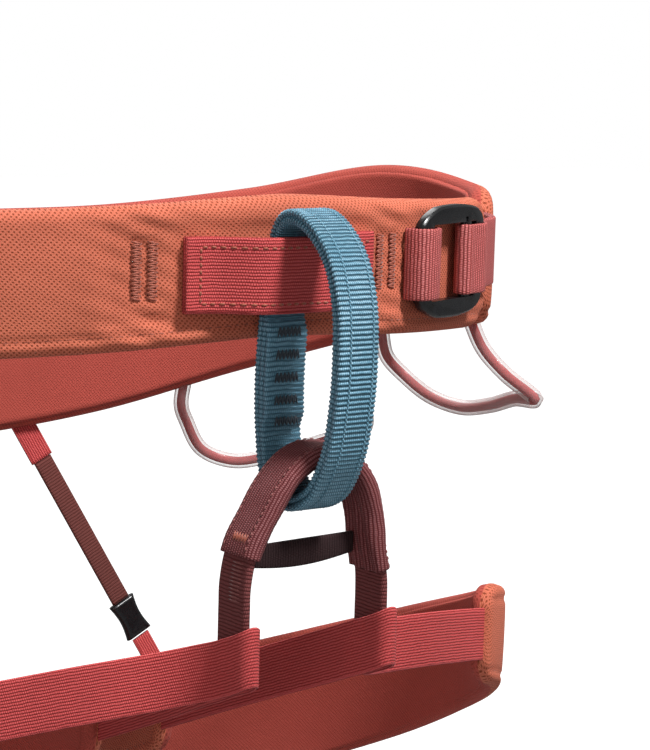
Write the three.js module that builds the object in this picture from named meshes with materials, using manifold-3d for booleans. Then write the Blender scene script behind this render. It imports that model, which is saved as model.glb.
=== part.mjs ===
// A climbing sit harness: padded waist belt, tie-in webbing, belay loop, yoke, two leg loops,
// gear loops, haul loop and elastic risers.
// Millimetres, +Z up, -Y to the front, +X to the wearer's left.
// The origin is the middle of the waist opening, level with the tie-in webbing.
import * as THREE from "three";
import { mergeVertices } from "three/addons/utils/BufferGeometryUtils.js";
import Module from "manifold-3d";

// ---- driving dimensions -------------------------------------------------------------------

const GAP = 0.3; // between pieces that touch
const WEBBING = 1.4; // thickness of load webbing
const WEBBING_WIDTH = 25; // waist and tie-in webbing
const SKIN = 1.2; // outer shell fabric with its backing
const LINING = 0.8; // inner lining fabric
const TURN_IN = 1.6; // height of the shell's turned-in edges

const WAIST = {
  halfWidth: 157.6, // to the outer face of the belt
  halfDepth: 110,
  foam: 4.7,
  endUnderBuckle: 128, // girth from the front centre to the pad's end under the buckle
  endPastBuckle: 150, // girth from the front centre to the pad's other end
  hood: 42, // unpadded pocket at that other end, where the strap's tail is stowed
  corner: 6.4,
  steps: 54,
};
// heights of the belt's edges at equal steps of girth from the front centre to the back centre
const WAIST_TOP = [26.5, 23.2, 21.2, 23, 26, 14, 6.5, 5];
const WAIST_BOTTOM = [-20.9, -24.2, -27.6, -33.6, -44.6, -62.4, -79.5, -87];

const TIE_IN = { halfLength: 39.5, height: 1, flatEnd: 8, room: 3.2, steps: 18 };

const BUCKLE = {
  middle: 80.2, // girth from the front centre
  length: 44,
  rail: 6.6, // height of a rail at its middle
  railEnd: 3.4,
  thick: 4.2,
  lift: 2.6, // clear of the belt's face
  bar: 7.2, // width of the two fixed bars
  slack: 0.9, // webbing's clearance to the rails
};
const LOCK_BAR = { wide: 5, thick: 2.6, groove: 1.8, travel: 2, middle: 9.4 };

const BELAY = {
  width: 16,
  ply: 2.2,
  behind: 1.6, // clearance to the belt
  askew: -4.4,
  askewTop: 14,
  lapFrom: 20,
  lapTo: 56,
  steps: 48,
};
const YOKE = {
  forward: 18.4, // of the belay loop's back face
  width: 16,
  webbing: 2.8,
  sleeve: 1.6,
  sleeveEdge: 0.9,
  sleeveFrom: 30, // sleeve's ends from the webbing's right and left ends
  sleeveTo: 21,
  crossFrom: 30,
  crossTo: 30.5,
  crossTall: 8,
  crossSag: 1.2,
  steps: 36,
};
const LEG = {
  foam: 3.2,
  webbing: 20,
  noseHeight: -119,
  noseRoom: 1.2, // round the yoke's limb
  tilt: 0.42,
  padFrom: 0.17,
  padTo: 0.8,
  padHeights: [38, 46, 56, 60, 54, 44, 37],
  corner: 6,
  steps: 48,
};
const GEAR = {
  tube: 6.4,
  bore: 4,
  cord: 2.9,
  sides: 8,
  step: 9,
  straight: 3,
  depth: -3.6, // of its ends, off the belt's outer face
  clear: 1.8, // of its ends, below the belt's edge
};
const HAUL = {
  width: 10,
  thick: 2.2,
  off: 3, // clear of the belt, so that it can swing
  room: 1.2, // between it and its tab
  tabTall: 8,
  tabHeight: -27,
  tabHalf: 18,
  steps: 20,
};
const RISER = {
  width: 8.4,
  thick: 1.8,
  fromCentre: 27, // girth from the back centre to the belt tab
  legShare: 0.569, // place of the leg's tab along the leg loop
  shy: 3.4, // the slanted tabs start this far off the pads' edges
  tab: 12,
  legTab: 11,
  hook: 16,
  clearance: 1.2, // at the open pivot between the hook and the leg loop's tab
};

const COLOURS = {
  shell: 0xcc7a63,
  lining: 0xa03f3b,
  foam: 0x3b3b3d,
  webbing: 0xb84e4c,
  belay: 0x3b667e,
  maroon: 0x6e383a,
  dark: 0x2c1114,
  plastic: 0x26272a,
  tube: 0xd9c9c6,
  cord: 0x9c4243,
  elastic: 0x60302a,
};

// ---- tools for shaping --------------------------------------------------------------------

const wasm = await Module();
wasm.setup();
const harness = new THREE.Group();
const { lerp, clamp, smoothstep, euclideanModulo } = THREE.MathUtils;
const UP = new THREE.Vector3(0, 0, 1);
const BACKWARDS = new THREE.Vector3(0, 1, 0);
const point = (x, y, z) => new THREE.Vector3(x, y, z);

function volumeOf(geometry) {
  const p = geometry.getAttribute("position");
  const [a, b, c] = [point(), point(), point()];
  let sum = 0;
  for (let i = 0; i < geometry.index.count; i += 3) {
    a.fromBufferAttribute(p, geometry.index.getX(i));
    b.fromBufferAttribute(p, geometry.index.getX(i + 1));
    c.fromBufferAttribute(p, geometry.index.getX(i + 2));
    sum += a.dot(b.cross(c));
  }
  return sum / 6;
}

// Moves every vertex of a straight geometry to its place, welds it and turns it to face out.
function shaped(geometry, place) {
  const p = geometry.getAttribute("position");
  const uv = geometry.getAttribute("uv");
  for (let i = 0; i < p.count; i++) {
    const v = place(p.getX(i), p.getY(i), p.getZ(i), uv.getX(i));
    p.setXYZ(i, v.x, v.y, v.z);
  }
  geometry.deleteAttribute("normal");
  geometry.deleteAttribute("uv");
  const welded = mergeVertices(geometry, 1e-3);
  if (volumeOf(welded) < 0) {
    const t = welded.index.array;
    for (let i = 0; i < t.length; i += 3) [t[i + 1], t[i + 2]] = [t[i + 2], t[i + 1]];
  }
  welded.computeVertexNormals();
  return welded;
}

function polygon(points) {
  return new THREE.Shape(points.map(([x, y]) => new THREE.Vector2(x, y)));
}

function rectangle(width, low, high) {
  const half = width / 2;
  return polygon([
    [-half, low],
    [half, low],
    [half, high],
    [-half, high],
  ]);
}

function circle(diameter, sides) {
  const turn = (i) => (2 * Math.PI * i) / sides;
  const corners = Array.from({ length: sides }, (_, i) => [
    (diameter / 2) * Math.cos(turn(i)),
    (diameter / 2) * Math.sin(turn(i)),
  ]);
  return polygon(corners);
}

// A section drawn as (across, out), set at each of a list of stations and joined between them.
function swept(section, stations, place) {
  const steps = stations.length - 1;
  const straight = new THREE.ExtrudeGeometry(section, { depth: 1, steps, bevelEnabled: false });
  return shaped(straight, (across, out, u) => place(stations[Math.round(u * steps)], out, across));
}

const evenly = (from, to, steps) =>
  Array.from({ length: steps + 1 }, (_, i) => lerp(from, to, i / steps));
const roundTrip = (length, steps) => evenly(0, length, steps).slice(0, -1);

// Stations on one shared grid, so that layers on a curve keep their gaps, with finer ones at ends.
function gridded(from, to, pitch, corner) {
  const ends = [0, 0.12, 0.35, 0.65].map((share) => share * corner);
  const inner = [];
  for (let k = Math.ceil((from + corner) / pitch); k * pitch <= to - corner; k++) inner.push(k * pitch);
  const first = corner ? ends.map((e) => from + e) : [from];
  const last = corner ? ends.map((e) => to - e).reverse() : [to];
  const all = [...first, ...inner, ...last];
  return all.filter((distance, i) => i === 0 || distance - all[i - 1] > 0.05);
}

// The same kind of section round a closed track, as one ring without ends.
function ring(section, stations, place) {
  const outline = section.getPoints();
  outline.push(outline[0].clone());
  const steps = stations.length;
  const lathe = new THREE.LatheGeometry(outline, steps);
  const p = lathe.getAttribute("position");
  for (let i = 0; i < p.count; i++) {
    const q = outline[i % outline.length];
    p.setXYZ(i, q.x, q.y, 0);
  }
  return shaped(lathe, (across, out, z, u) =>
    place(stations[Math.round(u * steps) % steps], out, across),
  );
}

function solidOf(geometry) {
  const bare = new THREE.BufferGeometry();
  bare.setAttribute("position", geometry.getAttribute("position"));
  bare.setIndex(geometry.index);
  const welded = mergeVertices(bare, 1e-3);
  return new wasm.Manifold(
    new wasm.Mesh({
      numProp: 3,
      vertProperties: welded.getAttribute("position").array,
      triVerts: new Uint32Array(welded.index.array),
    }),
  );
}

function geometryOf(solid) {
  const mesh = solid.getMesh();
  const g = new THREE.BufferGeometry();
  g.setAttribute("position", new THREE.BufferAttribute(mesh.vertProperties, 3));
  g.setIndex(new THREE.BufferAttribute(mesh.triVerts, 1));
  g.computeVertexNormals();
  return g;
}

const joined = (...parts) => geometryOf(parts.map(solidOf).reduce((a, b) => a.add(b)));
const cut = (body, ...tools) =>
  geometryOf(tools.map(solidOf).reduce((left, tool) => left.subtract(tool), solidOf(body)));

function add(name, geometry, colour, roughness = 0.85, metalness = 0) {
  const material = new THREE.MeshStandardMaterial({ color: colour, roughness, metalness });
  const mesh = new THREE.Mesh(geometry, material);
  mesh.name = name;
  harness.add(mesh);
}

// A curve that pieces follow. Its length is measured along it, "out" is square to it and to the
// given side direction, and "across" runs along that side direction.
class Track {
  constructor(curve, side) {
    this.curve = curve;
    this.side = side;
    curve.arcLengthDivisions = 600;
    this.length = curve.getLength();
    this.closed = curve.closed ?? curve.isEllipseCurve ?? false;
  }
  raw(t) {
    const p = this.curve.getPoint(this.closed ? euclideanModulo(t, 1) : clamp(t, 0, 1));
    return point(p.x, p.y, p.z ?? 0);
  }
  at(distance, out, across) {
    const share = distance / this.length;
    const t = this.curve.getUtoTmapping(this.closed ? euclideanModulo(share, 1) : clamp(share, 0, 1));
    const ahead = this.raw(t + 1e-4).sub(this.raw(t - 1e-4));
    const outwards = ahead.cross(this.side).normalize();
    return this.raw(t).addScaledVector(outwards, out).addScaledVector(this.side, across);
  }
  // for round sections, which stay square to the track; they can reach past its ends
  round(distance, out, across, over) {
    const share = clamp(distance / this.length, 0, 1);
    const t = this.curve.getUtoTmapping(share);
    const ahead = this.raw(Math.min(t + 1e-3, 1)).sub(this.raw(Math.max(t - 1e-3, 0))).normalize();
    const outwards = ahead.clone().cross(this.side).normalize();
    const sideways = outwards.clone().cross(ahead);
    const past = share === 0 ? -over : share === 1 ? over : 0;
    return this.raw(t)
      .addScaledVector(ahead, past)
      .addScaledVector(outwards, out)
      .addScaledVector(sideways, across);
  }
}

// A value given at equal steps, smooth between them.
function smoothly(values) {
  const curve = new THREE.SplineCurve(values.map((v, i) => new THREE.Vector2(i, v)));
  return (share) => curve.getPoint(clamp(share, 0, 1)).y;
}

// How far an edge draws in so that a sheet's end has a round corner.
function rounding(toEnd, corner) {
  const missing = Math.max(0, corner - toEnd);
  return corner - Math.sqrt(corner ** 2 - missing ** 2);
}

// Left and right copies of what the harness has twice.
const mirrored = (place) => (...where) => {
  const v = place(...where);
  return point(-v.x, v.y, v.z);
};
const BOTH_SIDES = [
  ["left", (place) => place, 1],
  ["right", mirrored, -1],
];

// ---- pad layers, shared by the waist belt and the leg loops ----------------------------------

function layersOf(foam) {
  const webbingOut = SKIN + GAP;
  const webbingIn = webbingOut + WEBBING;
  const foamOut = webbingIn + GAP;
  const foamIn = foamOut + foam;
  const liningOut = foamIn + GAP;
  return { webbingOut, webbingIn, foamOut, foamIn, liningOut, liningIn: liningOut + LINING };
}

// A pad stands on a track between two lengths, with a height that varies along it.
class Pad {
  constructor(track, from, to, foam, corner, pitch, edges) {
    Object.assign(this, { track, from, to, corner, pitch, edges });
    this.layer = layersOf(foam);
    this.stations = gridded(from, to, pitch, corner);
  }
  // a flat layer between two depths
  sheet(from, to, depthOut, depthIn, inset) {
    const section = rectangle(1, -depthIn, -depthOut);
    const stations = gridded(from, to, this.pitch, this.corner);
    const place = (distance, out, across) => {
      const draw = rounding(Math.min(distance - from, to - distance), this.corner) + inset;
      const [low, high] = this.edges(distance);
      return this.track.at(distance, out, lerp(low + draw, high - draw, across + 0.5));
    };
    return (turn) => swept(section, stations, turn(place));
  }
  // the outer skin, with both edges turned in over the pad's thickness
  shell() {
    const deep = -this.layer.liningIn;
    const turned = 0.1; // stands for the turned edge, whose true height is set as it is placed
    const section = polygon([
      [-0.5, deep],
      [-0.5, 0],
      [0.5, 0],
      [0.5, deep],
      [0.5 - turned, deep],
      [0.5 - turned, -SKIN],
      [turned - 0.5, -SKIN],
      [turned - 0.5, deep],
    ]);
    const place = (distance, out, across) => {
      const draw = rounding(Math.min(distance - this.from, this.to - distance), this.corner);
      const [low, high] = this.edges(distance);
      const edge = across < 0 ? low + draw : high - draw;
      const inside = Math.abs(across) < 0.5 - turned / 2;
      return this.track.at(distance, out, inside ? edge - Math.sign(across) * TURN_IN : edge);
    };
    return (turn) => swept(section, this.stations, turn(place));
  }
}

// ---- waist belt ---------------------------------------------------------------------------

const waistLine = new THREE.EllipseCurve(
  0,
  0,
  WAIST.halfWidth,
  WAIST.halfDepth,
  -Math.PI / 2,
  1.5 * Math.PI,
);
const belt = new Track(waistLine, UP);
const beltTop = smoothly(WAIST_TOP);
const beltBottom = smoothly(WAIST_BOTTOM);
// 0 at the front centre, 1 at the back centre
function shareBack(girth) {
  const g = euclideanModulo(girth, belt.length);
  return Math.min(g, belt.length - g) / (belt.length / 2);
}
const beltEdges = (girth) => [beltBottom(shareBack(girth)), beltTop(shareBack(girth))];
// the load webbing is level at the front and drops to the middle of the pad at the back
function webbingHeight(girth) {
  const [low, high] = beltEdges(girth);
  return lerp(TIE_IN.height, (low + high) / 2, smoothstep(shareBack(girth), 0.4, 0.8));
}
const padStart = WAIST.endPastBuckle;
const padStop = belt.length + WAIST.endUnderBuckle;
const pitch = belt.length / WAIST.steps;
const waistPad = new Pad(belt, padStart, padStop, WAIST.foam, WAIST.corner, pitch, beltEdges);
const layer = waistPad.layer;
const asIs = (place) => place;
const inset = TURN_IN + GAP;
const foamStart = padStart + WAIST.hood;

add("waist_shell", waistPad.shell()(asIs), COLOURS.shell);
const foam = waistPad.sheet(foamStart, padStop - GAP, layer.foamOut, layer.foamIn, inset);
add("waist_foam", foam(asIs), COLOURS.foam);
const lining = waistPad.sheet(padStart, padStop, layer.liningOut, layer.liningIn, inset);
add("waist_lining", lining(asIs), COLOURS.lining);

// ---- webbing bands that run over the belt -----------------------------------------------------

// The smooth line through (girth, distance off the belt's face) points.
function smoothRun(points, stepsEach) {
  const line = new THREE.CatmullRomCurve3(
    points.map(([girth, off]) => point(girth, off, 0)),
    false,
    "centripetal",
  );
  const shares = evenly(0, 1, (points.length - 1) * stepsEach);
  return shares.map((u) => line.getPoint(u)).map((v) => [v.x, v.y]);
}

// A band of webbing whose middle follows such a line.
function beltBand(line, width, thick) {
  const stations = line.map(([girth, off], i) => {
    const before = line[Math.max(i - 1, 0)];
    const after = line[Math.min(i + 1, line.length - 1)];
    const square = new THREE.Vector2(before[1] - after[1], after[0] - before[0]).normalize();
    return { girth, off, square };
  });
  return swept(rectangle(width, -thick / 2, thick / 2), stations, (at, out, across) =>
    belt.at(
      at.girth + at.square.x * out,
      at.off + at.square.y * out,
      webbingHeight(at.girth) + across,
    ),
  );
}

// tie-in webbing: two plies that stand off the belt, so that the belay loop passes behind
const loopThick = 2 * BELAY.ply + GAP;
const tieInBow = BELAY.behind + loopThick + TIE_IN.room;
function tieInPly(offset) {
  const { halfLength, flatEnd, height, steps } = TIE_IN;
  const free = halfLength - flatEnd;
  const section = rectangle(WEBBING_WIDTH, offset, offset + WEBBING);
  return swept(section, evenly(-halfLength, halfLength, steps), (girth, out, across) => {
    const toEnd = clamp((halfLength - Math.abs(girth) - flatEnd) / (free * 0.62), 0, 1);
    const lift = (tieInBow - GAP) * toEnd * toEnd * (3 - 2 * toEnd);
    return belt.at(girth, out + lift, height + across);
  });
}
add("tie_in_webbing_inner", tieInPly(GAP), COLOURS.webbing);
add("tie_in_webbing_outer", tieInPly(2 * GAP + WEBBING), COLOURS.webbing);
const tieInFace = tieInBow + 2 * WEBBING + GAP; // outer face at the front centre

// ---- buckle -------------------------------------------------------------------------------

const half = BUCKLE.length / 2;
const windowHalf = WEBBING_WIDTH / 2 + BUCKLE.slack;
const buckleIn = BUCKLE.lift;
const buckleOut = BUCKLE.lift + BUCKLE.thick;
const onBuckle = (x, off, z) => belt.at(BUCKLE.middle + x, off, TIE_IN.height + z);

// a plate between two distances off the belt: outline drawn as (along the belt, up)
function buckleSlab(shape, from, to, bevel, steps = 1) {
  const options = { depth: to - from - 2 * bevel, steps, curveSegments: 6 };
  Object.assign(options, { bevelEnabled: bevel > 0, bevelSize: bevel, bevelThickness: bevel });
  const plate = new THREE.ExtrudeGeometry(shape, { ...options, bevelOffset: -bevel, bevelSegments: 1 });
  return shaped(plate, (x, z, depth) => onBuckle(x, from + bevel + depth, z));
}

function buckleOutline() {
  const tall = windowHalf + BUCKLE.railEnd;
  const crown = windowHalf + BUCKLE.rail * 1.12;
  const s = new THREE.Shape();
  s.moveTo(-half, -tall + 4);
  s.quadraticCurveTo(-half + 2, -tall, -half * 0.5, -crown + 1.4);
  s.quadraticCurveTo(half * 0.2, -crown, half * 0.7, -tall - 1.6);
  s.quadraticCurveTo(half, -tall, half, -tall + 6);
  s.lineTo(half, tall - 6);
  s.quadraticCurveTo(half, tall, half * 0.7, tall + 1.6);
  s.quadraticCurveTo(half * 0.2, crown, -half * 0.5, crown - 1.4);
  s.quadraticCurveTo(-half + 2, tall, -half, tall - 4);
  s.closePath();
  return s;
}

const windowLength = BUCKLE.length - 2 * BUCKLE.bar;
const opening = polygon([
  [-windowLength / 2, -windowHalf],
  [windowLength / 2, -windowHalf],
  [windowLength / 2, windowHalf],
  [-windowLength / 2, windowHalf],
]);
const blank = buckleSlab(buckleOutline(), buckleIn, buckleOut, 0.8);
const window = buckleSlab(opening, buckleIn - 1, buckleOut + 1, 0);
// the lock bar's ends run in grooves cut in the rails' inner faces
const grooveIn = buckleIn + 0.8;
const grooveOut = grooveIn + LOCK_BAR.thick + 2 * GAP;
const barFrom = LOCK_BAR.middle - LOCK_BAR.wide / 2;
const barTo = LOCK_BAR.middle + LOCK_BAR.wide / 2;
const groove = polygon([
  [barFrom - GAP, -windowHalf - LOCK_BAR.groove],
  [barTo + LOCK_BAR.travel + GAP, -windowHalf - LOCK_BAR.groove],
  [barTo + LOCK_BAR.travel + GAP, windowHalf + LOCK_BAR.groove],
  [barFrom - GAP, windowHalf + LOCK_BAR.groove],
]);
add(
  "buckle_frame",
  cut(blank, window, buckleSlab(groove, grooveIn, grooveOut, 0)),
  COLOURS.plastic,
  0.35,
);
const barReach = windowHalf + LOCK_BAR.groove - GAP;
const lockBar = polygon([
  [barFrom, -barReach],
  [barTo, -barReach],
  [barTo, barReach],
  [barFrom, barReach],
]);
add("buckle_lock_bar", buckleSlab(lockBar, grooveIn + GAP, grooveOut - GAP, 0.5), COLOURS.plastic, 0.35);

// the fixed side's webbing loops round the frame's left bar
const ply = WEBBING / 2;
const barLeft = BUCKLE.middle - half;
const under = (GAP + buckleIn - GAP) / 2; // middle of the webbing under the frame
const over = buckleOut + GAP + ply;
const anchorLoop = [
  [barLeft - ply - 1.5, under - 0.2],
  [barLeft - ply - 1.2, over * 0.55],
  [barLeft - 0.2, over + 0.1],
  [barLeft + BUCKLE.bar * 0.5, over + 0.3],
  [barLeft + BUCKLE.bar + 1.6, over + 0.1],
  [barLeft + BUCKLE.bar + ply + 2.4, (under + over) / 2],
  [barLeft + BUCKLE.bar + 1.6, under + 0.3],
  [barLeft + BUCKLE.bar * 0.5, under - 0.1],
  [barLeft + ply + 0.5, under - 0.1],
];
add(
  "buckle_anchor_webbing",
  beltBand(smoothRun(anchorLoop, 3), WEBBING_WIDTH, WEBBING),
  COLOURS.webbing,
);

// the waist strap: the belt's own load webbing, out of the hood, under the frame's right bar,
// round the lock bar and back over the right bar to its stowed tail
const barRight = BUCKLE.middle + half;
const lockLeft = BUCKLE.middle + barFrom;
const midLayer = -(layer.webbingOut + ply);
const strapDepth = midLayer - WEBBING - GAP; // the strap passes under its own tail in the hood
const tailLength = 36; // stowed inside the hood
const backRun = gridded(foamStart, belt.length - TIE_IN.halfLength, pitch, 0);
const buckleRun = [
  [padStart, strapDepth],
  [(padStart + WAIST.endUnderBuckle) / 2 + 2, -2],
  [WAIST.endUnderBuckle + 1, under],
  [barRight + 4, under],
  [barRight - BUCKLE.bar, under],
  [lockLeft + LOCK_BAR.wide * 0.7, under + 0.3],
  [lockLeft - 0.4, grooveIn - 0.2],
  [lockLeft - GAP - ply - 0.45, (grooveIn + grooveOut) / 2],
  [lockLeft + 0.2, grooveOut + GAP + 0.7],
  [lockLeft + LOCK_BAR.wide * 0.6, over + 0.1],
  [barRight - BUCKLE.bar * 0.6, over + 0.2],
  [barRight + 1.4, over - 0.8],
  [barRight + 8, over - 4],
  [WAIST.endUnderBuckle - 2, under + WEBBING + GAP + 0.2],
  [(padStart + WAIST.endUnderBuckle) / 2, 0.3],
  [padStart, midLayer],
];
// inside the hood it keeps to the shell's own stations, and so keeps its gap to the shell
const hoodRun = waistPad.stations.filter((girth) => girth < foamStart - 2);
const tailRun = hoodRun.filter((girth) => girth < padStart + tailLength);
const strapLine = [
  ...backRun.reverse().map((girth) => [girth, midLayer]),
  ...hoodRun.toReversed().map((girth) => [girth, strapDepth]),
  ...smoothRun(buckleRun, 3).slice(1, -1),
  ...tailRun.map((girth) => [girth, midLayer]),
];
add("waist_strap", beltBand(strapLine, WEBBING_WIDTH, WEBBING), COLOURS.webbing);

// ---- belay loop -----------------------------------------------------------------------------

// its outer face from the side, as (forward of the loop's back, height)
const LOOP_SIDE = [
  [0, 6],
  [0, -28],
  [0.6, -51],
  [4.2, -67],
  [14.8, -75.3],
  [27.2, -71],
  [35.8, -57],
  [39.7, -38],
  [40.6, -20],
  [39.4, -5],
  [34.4, 8.4],
  [25.4, 17.6],
  [15.4, 22.4],
  [7, 21.8],
  [1.2, 16],
];
// its back strand hangs askew, further to one side the lower it is
function askew(forward, height) {
  const back = 1 - clamp(forward / 40, 0, 1);
  return BELAY.askew * back * clamp((BELAY.askewTop - height) / 30, 0, 1);
}
const loopAt = ([forward, height]) =>
  point(askew(forward, height), -WAIST.halfDepth - BELAY.behind - forward, height);
const loopLine = new THREE.CatmullRomCurve3(
  LOOP_SIDE.map(loopAt),
  true,
  "centripetal",
);
const loop = new Track(loopLine, point(-1, 0, 0));
const onLoop = (distance, out, across) => loop.at(distance, out, across);
function loopPly(depth) {
  const section = rectangle(BELAY.width, -depth - BELAY.ply, -depth);
  return ring(section, roundTrip(loop.length, BELAY.steps), onLoop);
}
add("belay_loop_outer_ply", loopPly(0), COLOURS.belay);
add("belay_loop_inner_ply", loopPly(BELAY.ply + GAP), COLOURS.belay);
// a third layer where the webbing's ends lap and the bar tacks go through
const lapDepth = 2 * (BELAY.ply + GAP);
const lapSection = rectangle(BELAY.width, -lapDepth - BELAY.ply, -lapDepth);
const lap = swept(lapSection, evenly(BELAY.lapFrom, BELAY.lapTo, 6), onLoop);
add("belay_loop_lap_ply", lap, COLOURS.belay);

// ---- yoke -----------------------------------------------------------------------------------

// an arch of webbing that hangs in the belay loop, with one end for each leg loop
const yokeForward = -WAIST.halfDepth - BELAY.behind - YOKE.forward;
const YOKE_ARCH = [
  [-31, -118],
  [-31, -112],
  [-31, -105],
  [-30.8, -97],
  [-28.4, -86],
  [-21.6, -74],
  [-12.6, -62],
  [-2, -56.4],
  [9, -58.6],
  [16.8, -67],
  [20.4, -78],
  [22.4, -90],
  [24.6, -99],
  [25, -106],
  [25, -112],
  [25, -118],
];
const yokeLine = new THREE.CatmullRomCurve3(
  YOKE_ARCH.map(([x, z]) => point(x, yokeForward, z)),
  false,
  "centripetal",
);
const yoke = new Track(yokeLine, BACKWARDS);
const onYoke = (distance, out, across) => yoke.at(distance, out, across);
const webbingHalf = YOKE.webbing / 2;
add(
  "yoke_webbing",
  swept(
    rectangle(YOKE.width, -webbingHalf, webbingHalf),
    evenly(0, yoke.length, YOKE.steps),
    onYoke,
  ),
  COLOURS.maroon,
);
// a tube of flat webbing drawn over the arch
const sleeveThick = YOKE.webbing + 2 * (YOKE.sleeve + GAP);
const sleeveWidth = YOKE.width + 2 * (YOKE.sleeveEdge + GAP);
const sleeveSection = rectangle(sleeveWidth, -sleeveThick / 2, sleeveThick / 2);
sleeveSection.holes.push(rectangle(YOKE.width + 2 * GAP, -webbingHalf - GAP, webbingHalf + GAP));
add(
  "yoke_sleeve",
  swept(
    sleeveSection,
    evenly(YOKE.sleeveFrom, yoke.length - YOKE.sleeveTo, YOKE.steps - 6),
    onYoke,
  ),
  COLOURS.maroon,
);
// a strap across the arch keeps its limbs from spreading
const crossEnds = [YOKE.crossFrom, yoke.length - YOKE.crossTo].map((distance) =>
  yoke.at(distance, 0, 0),
);
const crossMiddle = crossEnds[0].clone().lerp(crossEnds[1], 0.5).add(point(0, 0, -YOKE.crossSag));
const crossLine = new THREE.QuadraticBezierCurve3(
  crossEnds[0],
  crossMiddle.add(point(0, 0, -YOKE.crossSag)),
  crossEnds[1],
);
const cross = new Track(crossLine, UP);
const crossBand = swept(
  rectangle(YOKE.crossTall, -WEBBING / 2, WEBBING / 2),
  evenly(0, cross.length, 8),
  (...at) => cross.at(...at),
);
// its ends are trimmed to the limbs' inner faces
const limbs = swept(
  rectangle(YOKE.width, -sleeveThick / 2 - GAP, sleeveThick),
  evenly(0, yoke.length, YOKE.steps),
  onYoke,
);
add("yoke_cross_strap", cut(crossBand, limbs), COLOURS.dark);

// ---- leg loops ------------------------------------------------------------------------------

const legLayer = layersOf(LEG.foam);
const limbX = 28; // of each yoke limb's end, before the legs' shift
const legShift = -3; // the legs hang a little to the right with the yoke
const noseSide = webbingHalf + LEG.noseRoom + legLayer.webbingIn;
const noseCentre = yokeForward - YOKE.width / 2;
const noseTip = noseCentre - noseSide;
const diagonal = noseSide * Math.SQRT1_2;
const LEG_PLAN = [
  [limbX, noseTip],
  [limbX + diagonal, noseCentre - diagonal],
  [limbX + noseSide, noseCentre],
  [limbX + noseSide + 0.3, yokeForward],
  [limbX + noseSide + 2.2, yokeForward + YOKE.width / 2],
  [46, -113],
  [82, -105],
  [126, -84],
  [157, -42],
  [163, 12],
  [141, 62],
  [95, 87],
  [50, 76],
  [21, 40],
  [12, -18],
  [13, -72],
  [19.5, -107],
  [limbX - noseSide - 1.4, yokeForward + YOKE.width / 2],
  [limbX - noseSide - 0.2, yokeForward],
  [limbX - noseSide, noseCentre],
  [limbX - diagonal, noseCentre - diagonal],
];
const legHeight = (y) => LEG.noseHeight - LEG.tilt * (y - noseTip);
const legLine = new THREE.CatmullRomCurve3(
  LEG_PLAN.map(([x, y]) => point(x, y, legHeight(y))),
  true,
  "centripetal",
);
const leg = new Track(legLine, UP);
const padTall = smoothly(LEG.padHeights);
const legPadFrom = leg.length * LEG.padFrom;
const legPadTo = leg.length * LEG.padTo;
function legEdges(distance) {
  const tall = padTall((distance - legPadFrom) / (legPadTo - legPadFrom));
  return [-tall / 2, tall / 2];
}
const legPitch = leg.length / LEG.steps;
const legPad = new Pad(leg, legPadFrom, legPadTo, LEG.foam, LEG.corner, legPitch, legEdges);
// the webbing shares the pad's stations, with finer ones round the nose that holds the yoke
const noseEnd = 3 * legPitch;
const noseSteps = evenly(0, noseEnd, 15).slice(0, -1);
const legStations = [
  ...noseSteps,
  ...gridded(noseEnd, legPadFrom, legPitch, 0).slice(1),
  ...legPad.stations,
  ...gridded(legPadTo, leg.length - noseEnd, legPitch, 0).slice(1),
  ...noseSteps.slice(1).map((distance) => leg.length - distance).reverse(),
];
const legStrap = rectangle(LEG.webbing, -legLayer.webbingIn, -legLayer.webbingOut);
for (const [side, turn, sign] of BOTH_SIDES) {
  const shifted = (place) => turn((...at) => place(...at).add(point(sign * legShift, 0, 0)));
  const padLayer = (out, into) => legPad.sheet(legPadFrom, legPadTo, out, into, inset)(shifted);
  add(`leg_${side}_shell`, legPad.shell()(shifted), COLOURS.shell);
  add(`leg_${side}_foam`, padLayer(legLayer.foamOut, legLayer.foamIn), COLOURS.foam);
  add(`leg_${side}_lining`, padLayer(legLayer.liningOut, legLayer.liningIn), COLOURS.lining);
  const place = shifted((...at) => leg.at(...at));
  add(`leg_${side}_webbing`, ring(legStrap, legStations, place), COLOURS.webbing);
}

// ---- gear loops -----------------------------------------------------------------------------

// A moulded loop: a cord inside a clear tube, with both ends in the belt's lower edge.
// Its points are (back along the chord between its ends, out from it, height).
const GEAR_LOOPS = {
  front: {
    chord: [180.5, 240.5],
    roots: [176.5, 240.5],
    tip: [-28, 8.5, -60],
    ahead: [
      [-4.5, 0.5, -42.5],
      [-12.5, 5.5, -51.8],
    ],
    behind: [
      [-14, 10, -61.8],
      [3, 11.5, -67],
      [22, 12, -70.6],
      [42, 10.8, -68.4],
      [54, 7.6, -62],
      [58.6, 1, -53.5],
    ],
  },
  rear: {
    chord: [255, 329],
    roots: [255, 328],
    tip: [-5, 8, -86],
    ahead: [
      [-1.6, -0.5, -61],
      [-4.2, 5, -75],
    ],
    behind: [
      [4, 10.5, -90],
      [14.4, 12, -94],
      [36, 12, -101],
      [51.4, 11, -103.5],
      [64.5, 8, -98.5],
      [70.6, 3, -86],
      [72.4, -1.6, -78],
    ],
  },
};
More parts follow.
